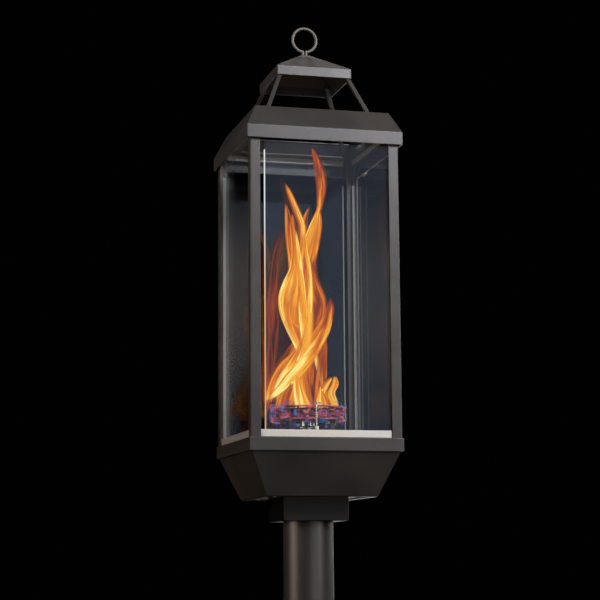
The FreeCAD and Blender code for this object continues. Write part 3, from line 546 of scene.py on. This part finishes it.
def ring_object(name, points, material, **vectors):
    """One object from a closed grid of points (along, round, 3)."""
    faces = quads(*points.shape[:2], True)
    return mesh_object(name, points.reshape(-1, 3), faces, material, vectors)


def joined(grids):
    """Points, faces and vectors of several grids as one mesh; grids are (points, closed, vectors)."""
    points, faces, vectors, start = [], [], {}, 0
    for grid, closed, held in grids:
        along, across = grid.shape[:2]
        faces.append(quads(along, across, closed, start))
        points.append(grid.reshape(-1, 3))
        start += along * across
        for key, values in held.items():
            vectors.setdefault(key, []).append(values.reshape(-1, 3))
    whole = {key: np.concatenate(values) for key, values in vectors.items()}
    return np.concatenate(points), np.concatenate(faces), whole


def smooth_path(rows, count):
    """A Catmull-Rom curve through the rows: each span is a cubic whose slope at a row is half
    the step between that row's two neighbours."""
    rows = np.asarray(rows, float)
    held = np.concatenate([2 * rows[:1] - rows[1:2], rows, 2 * rows[-1:] - rows[-2:-1]])
    t = np.linspace(0, len(rows) - 1, count)
    span = np.minimum(t.astype(int), len(rows) - 2)
    f = (t - span)[:, None]
    before, start, end, after = (held[span + k] for k in range(4))
    return 0.5 * (2 * start + (end - before) * f + (2 * before - 5 * start + 4 * end - after) * f ** 2
                  + (3 * start - before - 3 * end + after) * f ** 3)


def unit(vectors):
    """The vectors, each made one long."""
    return vectors / np.linalg.norm(vectors, axis=-1, keepdims=True)


def eased(values, low, high):
    """0 below low and 1 above high, with a cubic between."""
    t = np.clip((values - low) / (high - low), 0.0, 1.0)
    return t * t * (3 - 2 * t)


# ---------- flame

# Rows are x, y, height above the burner's rim and half width, in millimetres, from root to tip.
# Each shape ends with the heat at its root and at its tip, and its density.
FLAME_SHEETS = (
    (((0, 0, 158, 15), (4, 0, 191, 14), (7, 2, 223, 12), (12, 4, 255, 14), (18, 2, 287, 11), (21, 0, 314, 4)),
     0.62, 0.60, 0.95),
    (((21, 0, 306, 5), (26, 4, 336, 9), (27, 6, 360, 11), (21, 3, 386, 9), (11, 0, 410.6, 2)),
     0.64, 0.30, 0.98),
    (((22, 2, 312, 4), (27, 5, 342, 8), (25, 6, 368, 8), (17, 3, 392, 5), (11, 1, 408, 1)), 0.56, 0.30, 0.98),
    (((-16, -4, 205, 11), (-12, -4, 235, 10), (-8, -6, 261, 9), (-9, -6, 284, 7.5), (-18, -8, 307, 7),
      (-27, -8, 330, 5), (-36, -8, 350.5, 1)), 0.80, 0.48, 0.95),
    (((-20, 4, 205, 10), (-21, 5, 233, 9), (-25, 6, 262, 8), (-27, 6, 293, 6.5), (-31, 6, 322, 1)),
     0.55, 0.38, 0.90),
    (((-16, 0, 222, 11), (-17, 0, 252, 11), (-20, 0, 277, 9), (-22, 0, 304, 2)), 0.48, 0.40, 0.90),
    (((-3, 8, 262, 7), (2, 8, 298, 5.5), (9, 8, 316, 1)), 0.42, 0.36, 0.75),
    (((-8, -6, 78, 9), (-12, -8, 101, 14), (-19, -9, 122, 19), (-24, -10, 146, 23), (-25, -10, 169, 24),
      (-20, -8, 192, 19), (-17, -5, 217, 13), (-15, -4, 242, 8)), 0.60, 0.70, 0.97),
    (((8, 0, 108, 11), (17, 5, 130, 12), (23, 8, 151, 13), (23, 8, 168, 13), (16, 6, 190, 12),
      (10, 4, 212, 10), (8, 2, 235, 8)), 0.30, 0.50, 0.92),
    (((-22, -4, 52, 18), (-13, -4, 80, 18), (-6, -4, 105, 17), (-3, -4, 130, 16), (-5, -4, 160, 15),
      (-8, -4, 205, 12)), 0.55, 0.62, 0.95),
    (((-62, -12, 12, 9), (-44, -10, 32, 16), (-24, -8, 54, 19), (-5, -6, 78, 18), (14, -4, 104, 15),
      (28, -2, 128, 12), (37, 0, 152, 9), (40, 2, 176, 1)), 0.72, 0.30, 0.97),
    (((-64, -16, 4, 10), (-59, -12, 28, 13), (-48, -8, 50, 14), (-34, -4, 70, 12), (-22, -2, 90, 9),
      (-12, 0, 110, 3)), 0.52, 0.50, 0.92),
    (((22, 12, -2, 14), (23, 10, 40, 13), (26, 8, 71, 11), (28, 6, 99, 8), (30, 4, 122, 3)),
     0.38, 0.32, 0.88),
    (((46, 0, -2, 7), (43, 0, 11, 8), (39, 2, 22, 8), (44, 4, 36, 6), (45, 4, 51, 1)), 0.80, 0.62, 0.95),
    (((22, 2, -2, 10), (23, 4, 20, 9), (31, 6, 36, 7), (42, 6, 49, 2)), 0.70, 0.62, 0.92),
    (((-12, -24, -4, 15), (-18, -22, 18, 12), (-21, -20, 38, 8), (-22, -18, 58, 2)), 0.95, 0.80, 0.97),
    (((-48, -26, -4, 14), (-44, -24, 12, 12), (-36, -22, 26, 7), (-30, -20, 38, 1)), 0.48, 0.56, 0.88),
    (((8, 30, -2, 16), (4, 28, 20, 14), (0, 24, 44, 11), (-4, 20, 72, 2)), 0.45, 0.36, 0.80),
    (((-20, 38, -2, 14), (-16, 33, 30, 14), (-6, 26, 70, 14), (4, 18, 120, 13), (4, 10, 170, 12),
      (0, 6, 220, 8), (-4, 8, 262, 1)), 0.50, 0.42, 0.85),
    (((38, 24, -2, 12), (35, 24, 20, 10), (30, 20, 50, 8), (28, 16, 82, 1)), 0.55, 0.40, 0.85),
    (((5, 47, -2, 12), (8, 43, 30, 10), (4, 38, 65, 7), (0, 34, 96, 1)), 0.60, 0.45, 0.85),
)
FLAME_VEILS = (
    (((-56, 36, 2, 12), (-52, 40, 49, 14), (-46, 42, 112, 16), (-44, 42, 175, 15), (-38, 42, 239, 10),
      (-26, 40, 290, 1)), 0.26, 0.12, 0.55),
    (((30, 30, 20, 12), (34, 32, 70, 12), (30, 30, 130, 12), (22, 26, 190, 8), (18, 22, 240, 1)),
     0.16, 0.05, 0.45),
    (((10, 34, -2, 22), (12, 32, 40, 20), (14, 28, 80, 18), (12, 24, 120, 14), (8, 20, 160, 6)),
     0.30, 0.26, 0.80),
)
FLAME_STRANDS = (
    (((-18, -10, 58, 6), (-9, -10, 90, 7), (-7, -10, 120, 7), (-9, -11, 150, 7.5), (-12, -12, 185, 7.5),
      (-15, -11, 220, 6), (-17, -9, 250, 4.5), (-19, -8, 278, 1)), 0.92, 0.76, 0.95),
    (((-14, -8, 80, 2.5), (-22, -9, 100, 3), (-33, -10, 122, 3.5), (-42, -11, 146, 4), (-43, -11, 168, 5),
      (-35, -10, 191, 5.5), (-25, -7, 214, 4), (-22, -5, 240, 3), (-24, -4, 268, 2.5), (-26, -2, 294, 1)),
     1.0, 0.60, 0.95),
    (((-66, -20, 10, 2.5), (-45, -18, 28, 6), (-24, -17, 49, 9), (-4, -16, 73, 10), (15, -13, 99, 9),
      (30, -8, 124, 7), (37, -4, 148, 4), (40, -1, 168, 1)), 1.12, 0.45, 0.97),
    (((-58, -18, 24, 2), (-44, -16, 46, 4), (-30, -14, 64, 5), (-18, -12, 84, 4), (-8, -10, 108, 1)),
     0.90, 0.66, 0.92),
    (((-70, -20, 4, 2.5), (-64, -18, 27, 3), (-56, -16, 45, 3.5), (-44, -13, 64, 3.5), (-28, -10, 80, 2.5),
      (-16, -8, 96, 1)), 0.76, 0.66, 0.92),
    (((2, -8, 126, 3), (4, -9, 160, 5), (3, -9, 190, 5), (0, -9, 220, 5), (-4, -8, 246, 4), (-2, -7, 264, 2)),
     0.70, 0.66, 0.90),
    (((-4, -6, 248, 4), (2, -6, 270, 3.5), (10, -4, 288, 3.5), (18, -2, 305, 3), (22, 0, 320, 2.5),
      (25, 2, 340, 1)), 0.82, 0.50, 0.92),
    (((-5, -8, 258, 4), (-8, -9, 282, 4), (-15, -10, 302, 3), (-24, -10, 323, 2), (-32, -9, 343, 1)),
     0.88, 0.66, 0.92),
    (((20, 2, 120, 2.5), (30, 6, 150, 2), (28, 7, 170, 2), (20, 5, 192, 2), (14, 3, 217, 2)),
     0.46, 0.42, 0.85),
    (((-24, 2, 213, 2.5), (-26, 3, 242, 2.5), (-28, 4, 270, 2), (-29, 5, 302, 1)), 0.66, 0.46, 0.90),
    (((31, 4, 44, 2), (31, 4, 75, 2.5), (31, 3, 100, 2.5), (27, 2, 120, 1.5)), 0.46, 0.42, 0.85),
    (((47, -2, 0, 2), (43, -2, 14, 2.5), (42, 0, 26, 3), (48, 1, 38, 3), (46, 2, 51, 1)), 0.96, 0.80, 0.94),
    (((10, -26, -2, 6), (12, -26, 16, 4), (14, -25, 32, 1)), 0.85, 0.70, 0.92),
    (((24, -24, -2, 7), (20, -22, 14, 5), (16, -20, 26, 1)), 0.80, 0.64, 0.92),
    (((-72, -22, -14, 1.5), (-70, -22, -4, 3), (-68, -20, 10, 3)), 0.30, 0.46, 0.85),
    (((6, 42, 0, 4), (10, 38, 30, 4), (8, 30, 70, 3), (2, 22, 110, 1)), 0.85, 0.55, 0.90),
    (((36, 20, 0, 4), (32, 18, 30, 4), (20, 12, 70, 4), (8, 8, 120, 3), (4, 6, 170, 1)), 0.85, 0.55, 0.90),
    (((-40, 28, 0, 4), (-34, 24, 34, 4), (-22, 18, 76, 4), (-12, 12, 124, 3), (-8, 8, 180, 1)),
     0.85, 0.55, 0.90),
)


def flame_material(colours):
    """Glowing gas: streaks run along each shape and carry its colour and how much it hides."""
    f = Finish("flame")
    flow = f.add("Attribute", {"attribute_name": "flow"}, output="Vector")
    burn = f.add("Attribute", {"attribute_name": "burn"}, output="Vector")
    across, _, _ = f.parts(flow)
    heat, dense, _ = f.parts(burn)
    streak = f.noise(f.stretched(flow, (1.5, 9.0, 1.0)), 1.0, 3.0, 0.55, 0.9)
    thread = f.noise(f.stretched(flow, (4.6, 16.0, 1.0)), 1.0, 2.0, 0.5, 0.6)
    lively = f.step(streak, 0.30, 0.72)
    level = heat + 0.03 + 0.52 * (lively - 0.5) + 0.26 * (thread - 0.5) - 0.10 * abs(across)
    cool = colours.flame_cool
    tint = f.ramp(level, (0.0, (0.045, 0.004, 0.002)), (0.20, tuple(0.52 * c for c in cool)), (0.36, cool),
                  (0.54, (0.64, 0.145, 0.006)), (0.70, (0.90, 0.30, 0.014)), (0.86, (1.0, 0.50, 0.045)),
                  (1.0, colours.flame_hot))
    feather = f.step(abs(across), 1.0, 0.52)
    cover = dense * feather * (0.66 + 0.55 * lively)
    return f.close(f.surface(base_color=(0.0, 0.0, 0.0), roughness=1.0, specular_ior_level=0.0,
                             emission_color=tint, emission_strength=1.12, alpha=cover))


def flame_run(rows, narrow):
    """A flame's path from its rows: places, half widths, length so far, and direction."""
    path = smooth_path(rows, 12 * len(rows))
    spine = path[:, :3] * MM
    wide = np.maximum(path[:, 3:4], 0.3) * MM * narrow
    along = np.concatenate([[0.0], np.cumsum(np.linalg.norm(np.diff(spine, axis=0), axis=1))])
    return spine, wide, along, unit(np.gradient(spine, axis=0))


def flame_leaf(rows, heat, tip_heat, density, seed, yaw, narrow=1.0, across_count=17):
    """A cupped sheet along a smooth path. Across it, a point stands off the path by its half width
    times s, and bellies towards its faced side by a parabola in s with a slow wave along it."""
    spine, wide, along, tangent = flame_run(rows, narrow)
    sweep = yaw + 0.35 * np.sin(9.0 * along + seed)
    faced = np.stack([np.sin(sweep), -np.cos(sweep), np.zeros_like(sweep)], axis=-1)
    side = unit(np.cross(tangent, faced))
    out = np.cross(side, tangent)
    s = np.linspace(-1.0, 1.0, across_count)[None, :, None]
    wave = 0.22 * np.sin(2.4 * s + 38.0 * along[:, None, None] + seed)
    points = spine[:, None] + side[:, None] * wide[:, None] * s + out[:, None] * wide[:, None] * (
        0.55 * (1 - s ** 2) - 0.30 + wave)
    return points, False, flame_vectors(s[0, :, 0], along, heat, tip_heat, density, seed)


def flame_strand(rows, heat, tip_heat, density, seed, around_count=12):
    """A thin closed tube along a smooth path, a little flattened."""
    spine, wide, along, tangent = flame_run(rows, 0.9)
    faced = np.array([[-math.sin(CAMERA_YAW), -math.cos(CAMERA_YAW), 0.0]])
    side = unit(np.cross(tangent, faced))
    out = np.cross(side, tangent)
    turn = np.linspace(0, 2 * np.pi, around_count, endpoint=False)[None, :, None]
    oval = side[:, None] * np.cos(turn) + 0.6 * out[:, None] * np.sin(turn)
    points = spine[:, None] + wide[:, None] * oval
    return points, True, flame_vectors(0.5 * np.cos(turn[0, :, 0]), along, heat, tip_heat, density, seed)


def flame_vectors(across, along, heat, tip_heat, density, seed):
    """What the flame's material reads. Flow is the place across and along, shifted by the seed so
    that no two shapes are streaked alike; burn is the heat and the density."""
    share = along / along[-1]
    flow = np.stack(np.broadcast_arrays(across[None, :], along[:, None] + 3.7 * seed, 1.9 * seed), axis=-1)
    level = heat + (tip_heat - heat) * share
    fade = eased(share, 0.0, 0.08) * eased(share, 1.0, 0.90)
    seeds = np.full((1, len(across)), seed)
    burn = np.stack(np.broadcast_arrays(level[:, None], (density * fade)[:, None], seeds), axis=-1)
    return {"flow": flow, "burn": burn}


def lifted_flame(grids, sizes):
    """The shapes moved onto the burner's rim and stretched to the wanted height."""
    stretch = np.array([1.0, 1.0, sizes.flame_height / (FLAME_DRAWN * MM)])
    return [(points * stretch + np.array(FLAME_BASE), closed, held) for points, closed, held in grids]


def build_flame(context):
    """The tall flame: each sheet and veil is crossed by a second one, turned nearly a right angle."""
    sizes = context.scene.torch_sizes
    material = flame_material(context.scene.torch_colours)
    facing = -CAMERA_YAW
    groups = {
        "flame_sheets": [leaf for seed, shape in enumerate(FLAME_SHEETS, 1)
                         for leaf in (flame_leaf(*shape, seed, facing),
                                      flame_leaf(*shape, seed + 40, facing + 1.5, 0.8))],
        "flame_veils": [leaf for seed, shape in enumerate(FLAME_VEILS, 70)
                        for leaf in (flame_leaf(*shape, seed, facing),
                                     flame_leaf(*shape, seed, facing + 1.4))],
        "flame_strands": [flame_strand(*shape, seed) for seed, shape in enumerate(FLAME_STRANDS, 20)],
    }
    for name, grids in groups.items():
        points, faces, vectors = joined(lifted_flame(grids, sizes))
        made = mesh_object(name, points, faces, material, vectors)
        made.visible_diffuse = False
        made.visible_shadow = False
        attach(made, LANTERN)
    material.cycles.emission_sampling = "NONE"


def port_material():
    """Blue, violet and red flamelets at the ports, torn into tongues."""
    f = Finish("port_flame")
    flow = f.add("Attribute", {"attribute_name": "flow"}, output="Vector")
    torn = f.noise(f.stretched(flow, (60.0, 60.0, 46.0)), 1.0, 3.0, 0.6, 0.8)
    hue = f.noise(f.stretched(flow, (26.0, 26.0, 60.0)), 1.0, 2.0)
    tint = f.ramp(hue, (0.32, (0.020, 0.085, 0.32)), (0.44, (0.070, 0.20, 0.52)), (0.53, (0.12, 0.070, 0.30)),
                  (0.60, (0.50, 0.060, 0.060)), (0.68, (0.60, 0.26, 0.28)), (0.78, (0.62, 0.48, 0.56)))
    cover = f.step(torn, 0.50, 0.62) * 0.8
    return f.close(f.surface(base_color=(0.0, 0.0, 0.0), roughness=1.0, specular_ior_level=0.0,
                             emission_color=tint, emission_strength=1.0, alpha=cover))


def build_port_flames():
    """Rings of flamelets round the cage. A ring's radius swells with height by a parabola and
    ripples round it by a sine of the angle."""
    material = port_material()
    material.cycles.emission_sampling = "NONE"
    turn = np.linspace(0, 2 * np.pi, 192, endpoint=False)[None, :]
    for name, ripple, low, high, grow in (("port_flames_outer", 11, -20.0, 5.0, 3.4),
                                          ("port_flames_inner", 17, -26.0, -6.0, -3.0)):
        rise = np.linspace(0.0, 1.0, 12)[:, None]
        swell = 2.2 * rise * (1 - rise) * 4 * np.sin(ripple * turn + 3.0 * rise)
        radius = BURNER_RADIUS + MM * (grow + swell)
        height = FLAME_BASE.z + MM * (low + (high - low) * rise) + MM * 1.6 * np.sin(5 * turn)
        points = np.stack(np.broadcast_arrays(radius * np.cos(turn), radius * np.sin(turn), height), axis=-1)
        made = ring_object(name, points, material, flow=points)
        made.visible_diffuse = False
        made.visible_shadow = False
        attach(made, LANTERN)


# ---------- weld beads

def bead(path, normal, radius, pitch):
    """A weld bead: a round profile carried along a path, whose radius swells once a pitch as the
    ripples of a weld do and whose ends close to a point."""
    step = np.linalg.norm(np.diff(path, axis=0), axis=1)
    along = np.concatenate([[0.0], np.cumsum(step)])
    tangent = unit(np.gradient(path, axis=0))
    side = unit(np.cross(tangent, normal))
    top = np.cross(side, tangent)
    swell = radius * (0.86 + 0.14 * np.abs(np.sin(np.pi * along / pitch)))
    ends = np.minimum(along, along[-1] - along)
    swell = swell * np.sqrt(np.clip(ends / radius, 0.02, 1.0))
    lean = 0.35 * np.sin(np.pi * along / pitch)
    turn = np.linspace(0, 2 * np.pi, 14, endpoint=False)[None, :]
    points = path[:, None] + swell[:, None, None] * (
        side[:, None] * np.cos(turn)[..., None] + top[:, None] * np.sin(turn)[..., None])
    points = points + (radius * 0.3 * lean)[:, None, None] * tangent[:, None] * np.sin(turn)[..., None]
    return points, True, {}


def build_welds(context, material):
    """Fillet beads round the post's foot, between the gussets, and along both sides of each gusset."""
    r = context.scene.torch_sizes.weld_bead
    gap = GUSSET_HALF + 1.5 * r
    corner = 12 * MM                 # the gussets' beads stay this far out of the inner corner
    up = np.array([0.0, 0.0, 1.0])
    floor = up * PLATE_TOP
    grids = []
    for quarter in range(4):
        start = quarter * math.pi / 2
        span = np.linspace(start + gap / POST_RADIUS, start + math.pi / 2 - gap / POST_RADIUS, 90)
        outward = np.stack([np.cos(span), np.sin(span), np.zeros_like(span)], axis=-1)
        grids.append(bead(POST_RADIUS * outward + floor, outward, r, 1.6 * r))
        out = np.array([math.cos(start), math.sin(start), 0.0])
        beside = np.array([-math.sin(start), math.cos(start), 0.0])
        foot = np.linspace(POST_RADIUS + corner, GUSSET_HIGH.x - 3 * MM, 80)[:, None]
        rise = np.linspace(PLATE_TOP + corner, GUSSET_HIGH.z - 4 * MM, 90)[:, None]
        for hand in (-1, 1):
            web = beside * hand * GUSSET_HALF
            grids.append(bead(out * foot + web + floor, beside * hand, 0.8 * r, 1.5 * r))
            grids.append(bead(out * POST_RADIUS + web + up * rise, out, 0.8 * r, 1.5 * r))
    points, faces, _ = joined(grids)
    made = mesh_object("weld_beads", points, faces, material)
    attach(made, LANTERN)


# ---------- studio

def softbox(name, azimuth, elevation, away, width, height, radiance, colour, soft=0.8):
    """A rectangular light that faces the lantern's middle from an azimuth (0 is the front, 90 the
    right) and an elevation, in degrees. Its power is radiance times pi times its area, and it fades
    smoothly over the outer share of its width and height that soft says."""
    a, e = math.radians(azimuth), math.radians(elevation)
    back = Vector((math.sin(a) * math.cos(e), -math.cos(a) * math.cos(e), math.sin(e)))
    light = bpy.data.lights.new(name, "AREA")
    light.shape = "RECTANGLE"
    light.size, light.size_y = width, height
    light.energy = radiance * math.pi * width * height
    light.color = colour
    f = Finish(light)
    u, v, _ = f.parts(f.add("NewGeometry", output="Parametric"))
    inside = f.step(abs(u - 0.5), 0.5, 0.5 - 0.5 * soft) * f.step(abs(v - 0.5), 0.5, 0.5 - 0.5 * soft)
    f.close(f.add("Emission", sockets={"Strength": inside}), "OutputLight")
    held = bpy.data.objects.new(name, light)
    middle = Vector((0.0, 0.0, (HOPPER_LOW.z + PANE_HIGH.z) / 2))
    held.location = middle + back * away
    held.rotation_euler = back.to_track_quat("Z", "Y").to_euler()
    held.visible_camera = False
    bpy.context.scene.collection.objects.link(held)


def floor_material(colours):
    """Pale seamless paper with a faint tooth."""
    f = Finish("studio_floor")
    here = f.here()
    tooth = f.noise(here, 160.0, 3.0)
    cloud = f.noise(here, 0.8, 2.0)
    pale = colours.floor
    bright = tuple(min(1.0, 1.05 * c) for c in pale)
    tone = f.blend(0.4 * tooth + 0.6 * cloud, tuple(0.93 * c for c in pale), bright)
    return f.close(f.surface(base_color=tone, roughness=0.85 + 0.05 * tooth,
                             normal=f.bump(tooth, 0.0003, 0.3)))


def build_floor(context):
    """A disc as a grid of radius and angle; the rings lie closer together near the torch."""
    radius = context.scene.torch_sizes.floor_radius
    ring = (np.linspace(0.0, 1.0, 40)[:, None] ** 2) * radius
    turn = np.linspace(0, 2 * np.pi, 96, endpoint=False)[None, :]
    points = np.stack(np.broadcast_arrays(ring * np.cos(turn), ring * np.sin(turn), -0.0005), axis=-1)
    made = ring_object("studio_floor", points, floor_material(context.scene.torch_colours))
    made.visible_diffuse = False
    made.visible_glossy = False


def build_camera(context):
    """Stands left of the front and below the lantern's middle, looking up at it."""
    yaw, pitch, roll = CAMERA_YAW, CAMERA_PITCH, CAMERA_ROLL
    ahead = Vector((math.sin(yaw) * math.cos(pitch), math.cos(yaw) * math.cos(pitch), math.sin(pitch)))
    level = Vector((math.cos(yaw), -math.sin(yaw), 0.0))
    above = level.cross(ahead)
    right = math.cos(roll) * level + math.sin(roll) * above
    up = -math.sin(roll) * level + math.cos(roll) * above
    data = bpy.data.cameras.new("camera")
    data.sensor_width = SENSOR
    data.lens = CAMERA_LENS
    held = bpy.data.objects.new("camera", data)
    turn = Matrix((right, up, -ahead)).transposed()
    held.matrix_world = Matrix.Translation(CAMERA_AIM - CAMERA_AWAY * ahead) @ turn.to_4x4()
    context.scene.collection.objects.link(held)
    context.scene.camera = held


WHITE = (1.0, 0.98, 0.95)
COOL = (0.90, 0.93, 1.0)
WARM = (1.0, 0.80, 0.70)
BLUE = (0.62, 0.74, 1.0)
# Name, azimuth, elevation, distance, width, height, radiance, colour, and some say how soft.
SOFTBOXES = (
    ("key_cap", 25, 28, 3.0, 1.35, 0.80, 36.0, COOL, 0.7),
    ("key_high", 24, 42, 3.0, 3.2, 1.4, 3.4, WHITE),
    ("key_side", 40, 10, 2.8, 1.0, 2.2, 7.6, WHITE),
    ("front_haze", 15, 8, 3.2, 1.4, 1.9, 0.40, BLUE, 0.5),
    ("low_fill", 12, -16, 3.0, 2.4, 0.8, 3.0, WHITE),
    ("left_fill", -86, 3, 2.6, 2.4, 2.4, 4.2, WARM),
    ("front_left_fill", -48, 12, 3.0, 1.6, 1.6, 1.2, WHITE),
    ("back_right", 118, 12, 3.0, 3.2, 2.2, 3.4, WHITE),
    ("back_left", -130, 20, 3.0, 1.6, 2.0, 1.5, WHITE),
    ("rear_left_haze", -165, 9, 3.2, 1.2, 0.8, 0.07, WARM),
    ("rear_fill", 170, 44, 3.0, 3.4, 1.2, 1.1, WHITE),
    ("rear_low", 158, -9, 3.0, 1.2, 0.8, 3.0, WHITE),
    ("overhead", 20, 86, 3.6, 7.0, 7.0, 0.18, WHITE),
)


def build_lights(context):
    """A nearly dark world, the softboxes, and two small lights inside the flame."""
    world = bpy.data.worlds.new("studio")
    world.use_nodes = True
    world.node_tree.nodes["Background"].inputs["Color"].default_value = (0.0004, 0.0004, 0.0005, 1.0)
    context.scene.world = world
    for row in SOFTBOXES:
        softbox(*row)
    flame = bpy.data.lights.new("flame_light", "POINT")
    flame.energy = 0.22
    flame.shadow_soft_size = 0.035
    flame.color = (1.0, 0.50, 0.20)
    for name, height in (("flame_light_low", 0.05), ("flame_light_high", 0.18)):
        held = bpy.data.objects.new(name, flame)
        held.location = FLAME_BASE + Vector((-0.01, -0.01, height))
        held.visible_camera = False
        held.visible_glossy = False
        context.scene.collection.objects.link(held)


# ---------- operators

class TORCH_OT_stage(bpy.types.Operator):
    """Make the floor, the lights and the camera"""

    bl_idname = "torch.stage"
    bl_label = "Stage"

    def execute(self, context):
        build_floor(context)
        build_lights(context)
        build_camera(context)
        context.scene.cycles.transparent_max_bounces = 48
        context.scene.view_settings.view_transform = "Standard"
        if context.scene.camera is None:
            raise RuntimeError("the stage has no camera")
        return {"FINISHED"}


class TORCH_OT_coat(bpy.types.Operator):
    """Powder-coat the shells, posts, roof, collar and plate, and varnish the gas pipe"""

    bl_idname = "torch.coat"
    bl_label = "Powder coat"

    def execute(self, context):
        finish_nodes(context, (dark_bronze_coat, black_pipe))
        return {"FINISHED"}


class TORCH_OT_metals(bpy.types.Operator):
    """Give screws, fittings, sheet and channels their bare metals"""

    bl_idname = "torch.metals"
    bl_label = "Bare metals"

    def execute(self, context):
        finish_nodes(context, (zinc_steel, galvanised_sheet, satin_stainless, bright_steel, brass,
                               copper, chrome))
        return {"FINISHED"}


class TORCH_OT_burner(bpy.types.Operator):
    """Heat-tint the burner, its cage and legs"""

    bl_idname = "torch.burner"
    bl_label = "Burner"

    def execute(self, context):
        finish_nodes(context, (burner_steel, white_ceramic))
        return {"FINISHED"}


class TORCH_OT_controls(bpy.types.Operator):
    """Finish the knob, igniter, leads and door magnet"""

    bl_idname = "torch.controls"
    bl_label = "Controls"

    def execute(self, context):
        finish_nodes(context, (black_plastic, red_plastic, lead_sleeve, magnet))
        return {"FINISHED"}


class TORCH_OT_glass(bpy.types.Operator):
    """Glaze the four panes"""

    bl_idname = "torch.glass"
    bl_label = "Glass"

    def execute(self, context):
        finish_nodes(context, (tempered_glass,))
        return {"FINISHED"}


class TORCH_OT_welds(bpy.types.Operator):
    """Lay the weld beads at the post's foot"""

    bl_idname = "torch.welds"
    bl_label = "Weld beads"

    def execute(self, context):
        build_welds(context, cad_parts["post_tube"].data.materials[0])
        return {"FINISHED"}


class TORCH_OT_flame(bpy.types.Operator):
    """Light the flame above the burner's rim"""

    bl_idname = "torch.flame"
    bl_label = "Flame"

    def execute(self, context):
        build_flame(context)
        return {"FINISHED"}


class TORCH_OT_port_flames(bpy.types.Operator):
    """Light the small flames at the burner's ports"""

    bl_idname = "torch.port_flames"
    bl_label = "Port flames"

    def execute(self, context):
        build_port_flames()
        return {"FINISHED"}


class TORCH_PT_panel(bpy.types.Panel):
    """Lists the torch's sizes, colours and steps"""

    bl_idname = "TORCH_PT_panel"
    bl_label = "Gas Lantern Torch"
    bl_space_type = "VIEW_3D"
    bl_region_type = "UI"
    bl_category = "Torch"

    def draw(self, context):
        for group in (context.scene.torch_sizes, context.scene.torch_colours):
            for name in group.__annotations__:
                self.layout.prop(group, name)
        for step in STEPS:
            self.layout.operator(step.bl_idname)


STEPS = (TORCH_OT_coat, TORCH_OT_metals, TORCH_OT_burner, TORCH_OT_controls, TORCH_OT_glass,
         TORCH_OT_welds, TORCH_OT_flame, TORCH_OT_port_flames, TORCH_OT_stage)
CLASSES = (TorchSizes, TorchColours, *STEPS, TORCH_PT_panel)


def register():
    """Adds the classes, and the sizes and colours, to Blender."""
    for held in CLASSES:
        bpy.utils.register_class(held)
    bpy.types.Scene.torch_sizes = PointerProperty(type=TorchSizes)
    bpy.types.Scene.torch_colours = PointerProperty(type=TorchColours)


def unregister():
    """Takes away what register added."""
    del bpy.types.Scene.torch_colours
    del bpy.types.Scene.torch_sizes
    for held in reversed(CLASSES):
        bpy.utils.unregister_class(held)


def main():
    """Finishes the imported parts, adds the visual pieces and the stage, and notes the sizes."""
    register()
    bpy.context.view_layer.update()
    bpy.ops.torch.coat()
    bpy.ops.torch.metals()
    bpy.ops.torch.burner()
    bpy.ops.torch.controls()
    bpy.ops.torch.glass()
    bpy.ops.torch.welds()
    bpy.ops.torch.flame()
    bpy.ops.torch.port_flames()
    bpy.ops.torch.stage()


if __name__ == "__main__":
    main()
